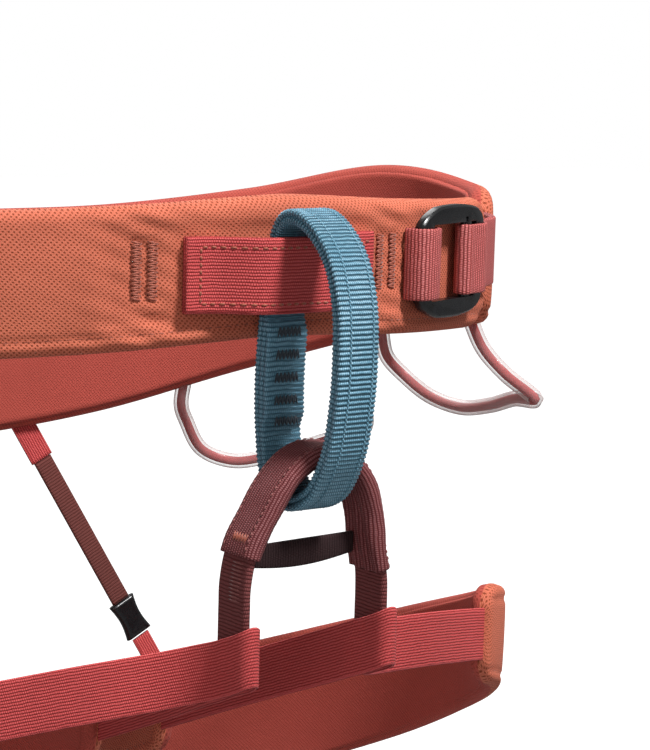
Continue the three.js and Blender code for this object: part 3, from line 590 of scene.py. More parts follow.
class Finishes:
    """Every finish of the harness, made once."""

    def __init__(self, colours, sizes):
        self.ribbed, self.pack, self.tone = ribbed_group(), pack_weave_group(), cloth_tone_group()
        weave, ribs, c = self.weave, self.ribs, colours
        lines, along, across = (sizes.line, 0.72, 1.0), (1.25, 0.62, 0.0), (1.3, 0.7, 1.0)
        # roughness, weave and its pitches, relief in mm, light (how far the painted highlight
        # pales the crests), share of the dye in the dark patches and the painted groove shade, and
        # shine
        for key, name, *values in (
            ("shell", "Cover cloth", 0.8, weave, sizes.weave, 0.2, 0.42, 0.32),
            ("lining", "Lining cloth", 0.86, weave, 1.5, 0.16, 0.1, 0.55),
            ("load", "Load webbing", 0.6, ribs, lines, 0.34, 0.5, 0.3),
            ("strap", "Waist strap", 0.6, ribs, along, 0.3, 0.9, 0.24, 0.7),
            ("belay", "Belay webbing", 0.4, ribs, (sizes.rib, 0.8, 0.0), 0.3, 1.0, 0.2, 0.9),
            ("yoke", "Yoke webbing", 0.66, ribs, along, 0.3, 0.2, 0.3),
            ("sleeve", "Yoke sleeve", 0.62, ribs, across, 0.3, 0.55, 0.34),
            ("dark", "Dark tape", 0.75, ribs, (1.0, 0.5, 0.0), 0.2, 0.08, 0.3),
            ("elastic", "Riser elastic", 0.8, ribs, along, 0.2, 0.12, 0.3),
            ("cord", "Loop cord", 0.7, weave, 1.1, 0.2, 0.12, 0.4),
        ):
            setattr(self, key, self.cloth(name, getattr(c, key), *values))
        self.thread = self.thread_finish("Red thread", c.thread)
        self.blue_thread = self.thread_finish("Blue thread", c.belay_thread)
        self.night_thread = self.thread_finish("Dark blue thread", c.tack_thread)
        self.dark_thread = self.thread_finish("Maroon thread", c.yoke_thread)
        self.plastic = self.plastic_finish("Dark plastic", c.plastic)
        self.tube = self.tube_finish("Clear tube", c.tube)

    def start(self, name):
        material = bpy.data.materials.new(name)
        material.use_nodes = True
        g = Graph(material.node_tree)
        return material, g, material.node_tree.nodes["Principled BSDF"]

    def weave(self, g, cloth, pitch):
        return g.group(self.pack, Cloth=cloth, Pitch=pitch)

    def ribs(self, g, cloth, pitches):
        named = dict(zip(("Rib pitch", "Thread pitch", "Across"), pitches))
        return g.group(self.ribbed, Cloth=cloth, **named)

    def cloth(self, name, colour, roughness, weave, size, depth, light, deep, shine=0.3):
        """light is how far the painted highlight on the thread crests pales the dye; the number
        after it is the share of the dye kept in the dark colour of the random patches and of the
        painted shade in the grooves.
        """
        material, g, shader = self.start(name)
        uv = g.cloth_place()
        height, groove, crest = weave(g, uv, size)
        dye, white = Vector(colour), Vector((1, 1, 1))
        # painted highlight colour of the crests: the dye paled and whitened
        painted_highlight = dye * (1 + light) + white * light * 0.25
        # the dark colour serves the random dye patches and the painted shade in the grooves
        shades = {"Dye": (*dye, 1), "Deep": (*(dye * deep), 1), "Light": (*painted_highlight, 1)}
        fibres = g.noise(uv, 2600.0, 2.0, 0.6)
        g.feed(
            shader,
            Base_Color=g.group(self.tone, Cloth=uv, Groove=groove, Crest=crest, **shades)[0],
            Normal=g.relief(g.plus(height, g.times(fibres, 0.35)), 0.9, depth * MM),
            Roughness=g.fit(groove, 0.0, 1.0, roughness, 0.95),
            Specular_IOR_Level=shine,
            Sheen_Weight=0.05,
            Sheen_Roughness=0.45,
            Sheen_Tint=(*dye.lerp(white, 0.4), 1),
        )
        return material

    def thread_finish(self, name, colour):
        material, g, shader = self.start(name)
        ply = g.noise(g.object_place(), 3200.0, 2.0)
        g.feed(
            shader,
            Base_Color=g.mix(g.fit(ply, 0.35, 0.7), (*(Vector(colour) * 0.6), 1), (*colour, 1)),
            Normal=g.relief(ply, 0.5, 0.1 * MM),
            Roughness=g.fit(ply, 0.3, 0.7, 0.5, 0.7),
            Sheen_Weight=0.2,
        )
        return material

    def plastic_finish(self, name, colour):
        material, g, shader = self.start(name)
        place = g.object_place()
        grain = g.noise(place, 1500.0, 3.0, 0.7)
        scuffs = g.fit(g.noise(place, 90.0, 5.0, 0.7), 0.45, 0.8)
        worn = tuple(Vector(colour) * 1.6 + Vector((0.004, 0.004, 0.005)))
        g.feed(
            shader,
            Base_Color=g.mix(g.times(scuffs, 0.5), (*colour, 1), (*worn, 1)),
            Roughness=g.fit(g.plus(grain, scuffs), 0.4, 1.5, 0.24, 0.44),
            Normal=g.relief(grain, 0.25, 0.05 * MM),
        )
        return material

    def tube_finish(self, name, colour):
        material, g, shader = self.start(name)
        uv = g.cloth_place()
        cloud = g.fit(g.noise(uv, 70.0, 4.0), 0.35, 0.7)
        milky = tuple(Vector(colour) * 0.8)
        edge = g.node("ShaderNodeLayerWeight", None, Blend=0.45).outputs["Facing"]
        g.feed(
            shader,
            Base_Color=g.mix(cloud, (*colour, 1), (*milky, 1)),
            Alpha=g.plus(g.fit(edge, 0.2, 0.8, 0.14, 0.92), g.times(cloud, 0.08)),
            Normal=g.relief(g.noise(uv, 900.0, 3.0), 0.15, 0.05 * MM),
            Roughness=g.fit(cloud, 0.0, 1.0, 0.22, 0.36),
            Coat_Weight=0.3,
        )
        return material


finishes = {}


def finish_named(name):
    """A finish by name; the first call makes them all."""
    if not finishes:
        scene = bpy.context.scene
        finishes["all"] = Finishes(scene.harness_colours, scene.harness_sizes)
    return getattr(finishes["all"], name)


# ---- what a user can change -----------------------------------------------------------------


def colour_property(name, description, *rgb):
    texts = {"name": name, "description": description}
    return bpy.props.FloatVectorProperty(
        **texts, subtype="COLOR", size=3, min=0, max=1, default=ink(*rgb)
    )


def size_property(name, description, default):
    return bpy.props.FloatProperty(
        name=name, description=description, default=default, min=0.01, max=60
    )


class HarnessColours(bpy.types.PropertyGroup):
    """Colours of the harness's cloths, webbings and fittings."""

    shell: colour_property("Cover", "Outer cloth of the pads", 192, 94, 64)
    lining: colour_property("Lining", "Smooth cloth inside the pads", 182, 76, 64)
    load: colour_property("Load webbing", "Waist, tie-in and leg webbing", 188, 58, 58)
    strap: colour_property("Waist strap", "Webbing threaded through the buckle", 168, 56, 52)
    belay: colour_property("Belay loop", "Webbing of the belay loop", 54, 114, 138)
    yoke: colour_property("Yoke webbing", "Webbing under the yoke's sleeve", 112, 48, 48)
    sleeve: colour_property("Yoke sleeve", "Sleeve over the yoke", 112, 44, 46)
    dark: colour_property("Cross strap", "Tape across the yoke", 40, 13, 16)
    elastic: colour_property("Riser elastic", "Elastic of the risers", 104, 50, 44)
    cord: colour_property("Loop cord", "Cord inside the gear loops", 178, 40, 42)
    thread: colour_property("Red thread", "Thread of the stitching and bar tacks", 168, 82, 58)
    belay_thread: colour_property("Blue thread", "Thread of the belay loop", 96, 150, 174)
    tack_thread: colour_property("Tack thread", "Thread of the belay loop's bar tacks", 26, 44, 58)
    yoke_thread: colour_property("Maroon thread", "Thread of the yoke", 150, 82, 78)
    plastic: colour_property("Plastic", "Buckle and riser hooks", 9, 10, 13)
    tube: colour_property("Clear tube", "Tube round the gear loops' cord", 222, 208, 206)
    floor: colour_property("Floor", "Studio floor", 128, 128, 128)


class HarnessSizes(bpy.types.PropertyGroup):
    """Sizes of threads and cloth, in millimetres."""

    weave: size_property("Weave", "Pitch of the hollows in the shell's weave, mm", 1.8)
    line: size_property("Webbing line", "Pitch of the lines along the load webbing, mm", 1.05)
    rib: size_property("Rib", "Pitch of the belay loop's ribs, mm", 1.6)
    stitch: size_property("Stitch", "Length of one stitch, mm", 2.4)
    thread: size_property("Thread", "Thickness of the thread, mm", 0.9)
    puff: size_property("Puff", "How far the padding swells between its seams, mm", 1.5)


# ---- the pieces -----------------------------------------------------------------------------


BAG_ROWS = 30  # faces across one side of a padded bag


def padded_bag(
    name, place, start, stop, edges, thick, corner, relief, stations,
    finish, body, slot, inner=None,
):  # fmt: skip
    """A closed crowned bag between two lengths of a track. relief(distance, height, share, face)
    moves its outer (1) and inner (-1) face. inner is the finish of the inner face."""
    rim = thick / 2
    around = [(k / BAG_ROWS, 1) for k in range(BAG_ROWS + 1)]
    around += [(k / BAG_ROWS, -1) for k in range(BAG_ROWS, -1, -1)]
    around.append(around[0])

    def spot(distance, face, share):
        low, high = edges(distance)
        to_end = min(distance - start, stop - distance)
        missing = max(0.0, corner - to_end)
        draw = corner - math.sqrt(max(corner**2 - missing**2, 0))
        low, high = low + draw, high - draw
        z = lerp(low, high, share)
        near = max(0.0, rim - min(z - low, high - z))
        fold = math.sqrt(max(1 - (near / rim) ** 2, 0))
        closing = max(0.0, rim - to_end)
        fold *= math.sqrt(max(1 - (closing / rim) ** 2, 0))
        swell = relief(distance, z, share, face) * min(1, fold * 1.4)
        return place(distance, -rim + face * (rim * fold + swell), z)

    bm = bmesh.new()
    uv = cloth_map(bm)
    nx, ny = len(stations) - 1, len(around) - 1
    made = bmesh.ops.create_grid(bm, x_segments=nx, y_segments=ny, size=1)["verts"]
    spots, inwards = {}, set()
    for v in made:
        i, j = grid_place(v, nx, ny)
        share, face = around[j]
        if j >= BAG_ROWS and j != ny:
            inwards.add(v)
        share = (1 - math.cos(share * math.pi)) / 2 * 0.5 + share * 0.5
        low, high = edges(stations[i])
        spots[v] = (stations[i] * MM, lerp(low, high, share) * MM)
        v.co = spot(stations[i], face, share) * MM
    for face in bm.faces:
        for cornered in face.loops:
            cornered[uv].uv = spots[cornered.vert]
        if inner and len(inwards.intersection(face.verts)) > 2:
            face.material_index = 1
    bmesh.ops.remove_doubles(bm, verts=made, dist=MERGE)
    bmesh.ops.dissolve_degenerate(bm, edges=bm.edges, dist=1e-6)
    close_rims(bm)
    made = make_object(name, bm, finish, body, slot)
    if inner:
        made.data.materials.append(finish_named(inner))
    return made


def inset(edges, by):
    """Edges drawn in at both sides."""

    def at(distance):
        low, high = edges(distance)
        return low + by, high - by

    return at


HEM_HEIGHT, HEM_WIDE, HEM_PITCH = 5.5, 1.1, 3.4


def peak(x, middle, wide):
    return math.exp(-(((x - middle) / wide) ** 2))


def hem(height):
    """1 in the groove of the hem's seam, at a height above the pad's lower edge."""
    return peak(height, HEM_HEIGHT, HEM_WIDE)


def hem_stitches(name, place, edges, relief, share, start, stop, body):
    """A row of stitches in the groove of the hem, along a pad's lower edge."""

    def face(distance, out, across):
        height = edges(distance)[0] + across
        return place(distance, out + relief(distance, height, share, 1), height)

    bm = bmesh.new()
    run = [(d, HEM_HEIGHT) for d in evenly(start, stop, round((stop - start) / HEM_PITCH))]
    stitch_run(bm, face, run, thick=0.6, fill=0.7)
    make_object(name, bm, "thread", body, "load_webbing")


def waist_relief(puff):
    """The waist pad's faces: crowned, pulled flat under the webbing and in at the bar tacks."""

    def relief(distance, z, share, face):
        g = from_front(distance)
        crown = math.sin(math.pi * clamp(share, 0, 1)) ** 0.7
        wave = noise.noise(Vector((g * 0.022, z * 0.03, 3.1 * face)))
        fine = noise.noise(Vector((g * 0.09, z * 0.13, 7.7 + face)))
        if face < 0:
            return 0.6 * crown * puff + 0.5 * wave
        under = bump(g, -62, 141, 7) * bump(z, -14, 16, 3.5)
        under = max(under, 1 - smooth(BACK - abs(g), 9, 30))
        lift = puff * crown * (1 - under) + 0.55 * wave * (1 - under) + 0.22 * fine
        for tack in TACKS:
            near = peak(g, tack, 2.8) * bump(z, -6, 11, 4)
            lift -= 1.1 * near
            far = math.exp(-abs(g - tack) / 11) * (1 - near)
            lift += 0.34 * far * math.sin(z * 0.85 + g * 0.32 + 1.3 * wave)
        pull = peak(g, -45, 16) * peak(z, -14.5, 4)
        drape = math.sin(g * 0.07 + z * 0.11 + 2 * wave) * (1 - under) * (1 - share)
        return lift - 1.3 * pull + 0.5 * drape - 0.8 * hem(z - belt_edges(distance)[0])

    return relief


def tack_face(girth, out, across):
    """The belt's face where the tacks draw it in."""
    return belt.at(girth, out - 0.3, across)


def fine_stations(start, stop, regions, coarse):
    """Stations from start to stop, closer together inside each (from, to, step) region."""
    marks, here = [], start
    while here < stop - 1e-6:
        marks.append(here)
        step = min([s for a, b, s in regions if a <= here < b] + [coarse])
        here += step
    return [*marks, stop]


COARSE = 4  # station pitch of the padded pieces


class PieceMaker:
    """What the operators share."""

    bl_options = {"REGISTER", "UNDO"}

    def execute(self, context):
        self.make(context.scene.harness_sizes)
        return {"FINISHED"}


class HARNESS_OT_waist_pad(PieceMaker, bpy.types.Operator):
    """Padded waist belt: woven cover and smooth lining"""

    bl_idname = "harness.waist_pad"
    bl_label = "Waist pad"

    def make(self, sizes):
        ends = [(PAD_START, PAD_START + 9, 0.7), (PAD_STOP - 9, PAD_STOP, 0.7)]
        front = (belt.length - 110, PAD_STOP, 1.6)
        cover = padded_bag(
            "waist_cover", belt.at, PAD_START, PAD_STOP, belt_edges, WAIST_THICK, 13,
            waist_relief(sizes.puff), fine_stations(PAD_START, PAD_STOP, [*ends, front], COARSE),
            "shell", "waist", "shell_fabric", "lining",
        )  # fmt: skip
        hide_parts("waist_shell", "waist_foam")

        def inside(distance, out, across):
            return belt.at(distance, out - WAIST_THICK + 1.1, across)

        def relief(distance, z, share, face):
            wave = noise.noise(Vector((distance * 0.03, z * 0.04, 11)))
            return -0.6 * face + (0.9 * math.sin(math.pi * share) + 0.4 * wave) * (face < 0)

        start, stop = PAD_START + 3, PAD_STOP - 3
        lining = padded_bag(
            "waist_lining_sheet", inside, start, stop, inset(belt_edges, 2.6), 1.6, 11, relief,
            fine_stations(start, stop, [], COARSE), "lining", "waist", "lining_fabric",
        )  # fmt: skip
        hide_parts("waist_lining")
        bm = bmesh.new()
        for tack in TACKS:
            bar_tack(bm, tack_face, (tack, -7), (tack, 12), sizes.thread, half=2.1)
        make_object("waist_bar_tacks", bm, "thread", "waist", "load_webbing")
        hem_stitches(
            "waist_hem_stitches", belt.at, belt_edges, waist_relief(sizes.puff), 0.1,
            PAD_START + 12, PAD_STOP - 12, "waist",
        )  # fmt: skip


class HARNESS_OT_tie_in(PieceMaker, bpy.types.Operator):
    """Tie-in webbing: two plies that stand off the belt, with their rows of stitches"""

    bl_idname = "harness.tie_in"
    bl_label = "Tie-in webbing"

    def lift(self, girth):
        free = TIE_HALF - TIE_FLAT
        to_end = clamp((TIE_HALF - abs(girth) - TIE_FLAT) / (free * 0.62), 0, 1)
        return TIE_LIFT * to_end * to_end * (3 - 2 * to_end)

    def make(self, sizes):
        def place(girth, out, across):
            return belt.at(girth, out + self.lift(girth), TIE_HEIGHT + across)

        left, right = TIE_ENDS
        marks = evenly(left, right, 90)
        for name, low in (("inner", GAP), ("outer", 2 * GAP + WEB)):
            woven_piece(
                f"tie_in_{name}_ply", f"tie_in_webbing_{name}", marks,
                flat_section(WEB_WIDTH, low - 0.1, low + WEB + 0.1, 12), place,
                "load", "waist", "load_webbing",
            )  # fmt: skip
        bm = bmesh.new()
        top = 2 * GAP + 2 * WEB + 0.12

        def face(girth, out, across):
            return place(girth, out + top, across)

        row, inset_by = 9.2, 4.9
        for across in (row, -row):
            run = [(girth, across) for girth in evenly(left + inset_by, right - 2, 24)]
            stitch_run(bm, face, run, sizes.thread, fill=0.72)
        for girth in (left + inset_by, right - inset_by):
            stitch_run(bm, face, [(girth, -row), (girth, row)], sizes.thread, sizes.stitch)
        make_object("tie_in_stitches", bm, "thread", "waist", "load_webbing")


def belt_webbing(name, node, points):
    """Webbing whose middle follows (girth, off) points over the belt, round the buckle's bars."""
    track = Track(centripetal([(*p, 0) for p in points], False, 8), UP)

    def place(distance, out, across):
        ahead = track.spot(min(distance + 0.3, track.length)) - track.spot(max(distance - 0.3, 0))
        square = Vector((-ahead.y, ahead.x, 0)).normalized()
        p = track.spot(distance) + square * out
        return belt.at(p.x, p.y, TIE_HEIGHT + across)

    woven_piece(
        name, node, fine_stations(0, track.length, [], 0.8),
        flat_section(WEB_WIDTH, -WEB / 2, WEB / 2, 12), place, "strap", "waist", "load_webbing",
    )  # fmt: skip


class HARNESS_OT_buckle(PieceMaker, bpy.types.Operator):
    """Buckle frame, lock bar, its anchor webbing and the waist strap threaded through it"""

    bl_idname = "harness.buckle"
    bl_label = "Buckle and waist strap"

    def make(self, sizes):
        for node, body in (("buckle_frame", "waist"), ("buckle_lock_bar", "lock_bar")):
            bm = bmesh.new()
            bm.from_mesh(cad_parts[node].data)
            bmesh.ops.remove_doubles(bm, verts=bm.verts, dist=1e-6)
            made = make_object(f"{node}_moulded", bm, "plastic", body, "dark_plastic")
            bevel = made.modifiers.new("Moulded edges", "BEVEL")
            bevel.width, bevel.segments, bevel.limit_method = 0.55 * MM, 3, "ANGLE"
            bevel.angle_limit = math.radians(25)
            bevel.harden_normals = True
            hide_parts(node)
        left, right, bar = BUCKLE_MIDDLE - BUCKLE_HALF, BUCKLE_MIDDLE + BUCKLE_HALF, BUCKLE_BAR
        over, under = BUCKLE_LIFT + BUCKLE_THICK + GAP + WEB / 2, 1.3
        lock = BUCKLE_MIDDLE + LOCK_MIDDLE - LOCK_HALF
        groove = (LOCK_LIFT, LOCK_LIFT + LOCK_THICK + 2 * GAP)
        ply = WEB / 2
        anchor = [
            (left - ply - 1.5, under - 0.2), (left - ply - 1.2, over * 0.55),
            (left - 0.2, over - 0.1), (left + bar * 0.5, over + 1), (left + bar + 1.6, over - 0.2),
            (left + bar + ply + 2.4, (under + over) / 2), (left + bar + 1.6, under + 0.3),
            (left + bar * 0.5, under - 0.1), (left + ply + 0.5, under - 0.1),
        ]  # fmt: skip
        belt_webbing("anchor_webbing", "buckle_anchor_webbing", anchor)
        hidden, stow = -2.2, (PAD_START + PAD_END) / 2
        strap = [
            (PAD_START + 26, hidden - 1.7), (PAD_START + 3, hidden - 1.7),
            (stow + 2, -2), (PAD_END + 1, under), (right + 4, under), (right - bar, under),
            (lock + 3.5, under + 0.3), (lock - 0.4, groove[0] - 0.2),
            (lock - GAP - 1.15, sum(groove) / 2), (lock + 0.2, groove[1] + GAP + 0.7),
            (lock + 3.4, over), (right - bar * 0.6, over + 0.9), (right + 0.6, over - 1.1),
            (right + 4.4, over - 4), (PAD_END - 2, under + WEB + GAP + 0.2), (stow, 0.3),
            (PAD_START - 2, hidden), (PAD_START + 10, hidden), (PAD_START + 36, hidden),
        ]  # fmt: skip
        belt_webbing("waist_strap_webbing", "waist_strap", strap)


class HARNESS_OT_belay_loop(PieceMaker, bpy.types.Operator):
    """Belay loop: ribbed plies, edge stitches and bar tacks"""

    bl_idname = "harness.belay_loop"
    bl_label = "Belay loop"

    def make(self, sizes):
        ribs = round(loop.length / sizes.rib)
        pitch = loop.length / ribs

        def ribbed(distance, out, across):
            swell = 0.24 * math.cos(2 * math.pi * distance / pitch)
            middle = -PLY / 2 - depth
            out = middle + (out - middle) * (1 + swell)
            if name == "lap":
                out += PLY * 0.85 * (1 - bump(distance, LAP[0] + 5, LAP[1] - 5, 5))
            return loop.at(distance, out, across * (1 + swell * 0.1))

        for name, depth, marks in (
            ("outer", 0.0, evenly(0, loop.length, ribs * 4)),
            ("inner", PLY + GAP, evenly(0, loop.length, ribs * 4)),
            ("lap", 2 * (PLY + GAP), evenly(*LAP, 130)),
        ):
            woven_piece(
                f"belay_{name}", f"belay_loop_{name}_ply", marks,
                flat_section(LOOP_WIDTH, -depth - PLY, -depth), ribbed,
                "belay", "belay_loop", "belay_webbing",
            )  # fmt: skip
        bm = bmesh.new()

        def face(distance, out, across):
            return loop.at(distance, out + 0.15, across)

        def inside(distance, out, across):
            return loop.at(distance, -2 * (PLY + GAP) - PLY - 0.25 - out, across)

        for across in (-5.4, 3.6):
            run = [(distance, across) for distance in evenly(0, loop.length, ribs)]
            stitch_run(bm, face, run, thick=0.62, fill=0.9)
        make_object("belay_chains", bm, "blue_thread", "belay_loop", "belay_webbing")
        bm = bmesh.new()
        for d in evenly(LAP[0] + 4, LAP[1] - 2, 4):
            bar_tack(bm, inside, (d, -4.6), (d, 4.6), thick=0.75, half=1.9)
        make_object("belay_tacks", bm, "night_thread", "belay_loop", "belay_webbing")


class HARNESS_OT_yoke(PieceMaker, bpy.types.Operator):
    """Yoke: webbing arch, its stitched sleeve and the cross strap"""

    bl_idname = "harness.yoke"
    bl_label = "Yoke"

    def make(self, sizes):
        woven_piece(
            "yoke_arch", "yoke_webbing", evenly(0, yoke.length, 120),
            flat_section(16, -YOKE_HALF, YOKE_HALF, 8), yoke.at, "yoke", "yoke", "yoke_webbing",
        )  # fmt: skip
        start, stop, half = 30, yoke.length - 21, 3.3

        def tube(distance, out, across):
            fold = 0.45 * math.sin(across * 1.15 + distance * 0.16) * smooth(distance, 92, 112)
            pucker = 0.12 * math.sin(distance * 2.6) * bump(abs(across), 5.6, 6.8, 1.2)
            swell = 1 + 0.04 * math.sin(distance * 0.4)
            return yoke.at(distance, out * swell - pucker + fold, across)

        woven_piece(
            "yoke_sleeve_cloth", "yoke_sleeve", evenly(start, stop, 110),
            flat_section(18.2, -half, half, 10), tube, "sleeve", "yoke", "yoke_webbing",
        )  # fmt: skip
        bm = bmesh.new()

        def face(distance, out, across):
            return yoke.at(distance, out + half + 0.1, across)

        for across in (-6.2, 5.8):
            run = [(d, across) for d in evenly(start + 1.5, stop - 1.5, 40)]
            stitch_run(bm, face, run, thick=0.6, fill=0.62)

        def webbing_face(distance, out, across):
            return yoke.at(distance, out + 1.45, across)

        for d in evenly(start - 14, start - 2, 10):
            stitch_run(bm, webbing_face, [(d, -6.5), (d, 3)], thick=0.55)
        make_object("yoke_stitches", bm, "dark_thread", "yoke", "yoke_webbing")
        bm = bmesh.new()
        tack = start + 5.5
        bar_tack(bm, face, (tack, -5), (tack, 2.5), thick=0.75, half=1.6)
        make_object("yoke_tack", bm, "thread", "yoke", "yoke_webbing")
        self.cross_tape()

    def cross_tape(self):
        a, b = yoke.at(30, -4.2, 2.4), yoke.at(yoke.length - 30.5, -4.2, 2.4)
        sag = (a + b) / 2 - Vector((0, 0, 1.2))
        shares = evenly(0, 1, 30)
        line = [a * (1 - t) ** 2 + sag * 2 * t * (1 - t) + b * t**2 for t in shares]
        cross = Track(line, UP)

        def tape(distance, out, across):
            share = math.sin(math.pi * distance / cross.length)
            crown = 0.5 * share * math.cos(across / 4.2 * math.pi / 2)
            bow = -0.9 * share if across < 0 else 0
            return cross.at(distance, out + crown, across * (0.86 + 0.14 * share) + bow)

        woven_piece(
            "yoke_cross_tape", "yoke_cross_strap", evenly(0, cross.length, 40),
            flat_section(8.4, -0.9, 0.9, 8), tape, "dark", "yoke", "dark_webbing",
        )  # fmt: skip


def leg_relief(distance, z, share, face):
    """A leg pad's faces: crowned, with a hem along each edge of the outer one."""
    wave = noise.noise(Vector((distance * 0.02, z * 0.03, 5.5)))
    low, high = leg_edges(distance)
    seam = (hem(z - low) + hem(high - z)) * (face > 0)
    crown = math.sin(math.pi * share) ** 0.7
    return (0.9 if face > 0 else 0.5) * crown + 0.5 * wave - 0.7 * seam


class HARNESS_OT_legs(PieceMaker, bpy.types.Operator):
    """Leg loops: padded covers, linings and webbing rings"""

    bl_idname = "harness.legs"
    bl_label = "Leg loops"

    def make(self, sizes):
        for side in ("left", "right"):
            self.leg_loop(side)

    def leg_loop(self, side):
        place, body = on_leg(side), f"leg_{side}"
        ends = [(LEG_FROM, LEG_FROM + 8, 0.8), (LEG_TO - 8, LEG_TO, 0.8)]
        cover = padded_bag(
            f"leg_{side}_cover", place, LEG_FROM, LEG_TO, leg_edges, LEG_THICK, 11, leg_relief,
            fine_stations(LEG_FROM, LEG_TO, ends, COARSE), "shell", body, "shell_fabric", "lining",
        )  # fmt: skip
        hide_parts(f"leg_{side}_shell", f"leg_{side}_foam")

        def inside(distance, out, across):
            return place(distance, out - LEG_THICK + 0.9, across)

        def relief(distance, z, share, face):
            return 0.5 * math.sin(math.pi * share)

        start, stop = LEG_FROM + 3, LEG_TO - 3
        lining = padded_bag(
            f"leg_{side}_lining_sheet", inside, start, stop, inset(leg_edges, 2.4), 1.4, 9, relief,
            fine_stations(start, stop, [], COARSE), "lining", body, "lining_fabric",
        )  # fmt: skip
        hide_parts(f"leg_{side}_lining")
        hem_stitches(
            f"leg_{side}_hem_stitches", place, leg_edges, leg_relief, 0.12, LEG_FROM + 10,
            LEG_TO - 10, body,
        )  # fmt: skip
        low = -2.9
        woven_piece(
            f"leg_{side}_ring", f"leg_{side}_webbing", evenly(0, leg.length, 260),
            flat_section(LEG_WEB_WIDTH, low, low + LEG_WEB, 8), place, "load", body,
            "load_webbing",
        )  # fmt: skip


# chord and root girths on the belt, then points as (along the chord, outwards, height)
GEAR_LOOPS = {
    "front": (
        (180.5, 240.5), (176.5, 240.5), (-28, 8.5, -60),
        ((-4.5, 0.5, -42.5), (-12.5, 5.5, -51.8)),
        ((-14, 10, -61.8), (3, 11.5, -67), (22, 12, -70.6), (42, 10.8, -68.4), (54, 7.6, -62),
         (58.6, 1, -53.5)),
    ),
    "rear": (
        (255, 329), (255, 328), (-5, 8, -86),
        ((-1.6, -0.5, -61), (-4.2, 5, -75)),
        ((4, 10.5, -90), (14.4, 12, -94), (36, 12, -101), (51.4, 11, -103.5), (64.5, 8, -98.5),
         (70.6, 3, -86), (72.4, -1.6, -78)),
    ),
}  # fmt: skip


def gear_route(end):
    """The line of a gear loop on the wearer's left, and its outward direction."""
    chord, roots, tip, ahead, behind = GEAR_LOOPS[end]
    a, b = (belt.at(g, 0, 0) for g in chord)
    along = (b - a).normalized()
    outward = along.cross(UP)

    def spot(p):
        v = a + along * p[0] + outward * p[1]
        return Vector((v.x, v.y, p[2]))

    first, last = (belt.at(g, -3.6, belt_edges(g)[0] + 2.2) for g in roots)
    points = [first, *map(spot, ahead), spot(tip), *map(spot, behind), last]
    return centripetal(points, False, 12), outward


class HARNESS_OT_gear_loops(PieceMaker, bpy.types.Operator):
    """Gear loops: cord inside a clear moulded tube"""

    bl_idname = "harness.gear_loops"
    bl_label = "Gear loops"

    def make(self, sizes):
        for end in ("front", "rear"):
            line, outward = gear_route(end)
            for side, sign in (("left", 1), ("right", -1)):
                mirrored = [Vector((sign * p.x, p.y, p.z)) for p in line]
                route = Track(mirrored, (sign * outward.x, outward.y, outward.z))
                marks = evenly(0.5, route.length - 0.5, round(route.length / 1.2))
                for what, diameter, sides, slot in (
                    ("tube", 6.4, 18, "clear_tube"),
                    ("cord", 3.7, 14, "loop_cord"),
                ):
                    name = f"gear_loop_{end}_{side}_{what}"
                    woven_piece(
                        f"{name}_look", name, marks, round_section(diameter, sides), route.square,
                        what, f"gear_{end}_{side}", slot,
                    )  # fmt: skip


HAUL_OFF = 3  # the haul loop's clearance to the belt
HAUL_SIDE = (
    (0, -22), (0, -50), (1.2, -66), (6, -74), (11, -66), (12.4, -48), (11.8, -26), (6, -13.5),
    (0.8, -16),
)  # fmt: skip
RISER_SHY = 3.4  # from a pad's edge to the riser's end
BELT_TAB, LEG_TAB, HOOK, HOOK_ROOM = 12, 11, 16, 1.2  # lengths along a riser
LEAD = 20  # a riser's line runs this far past both its ends


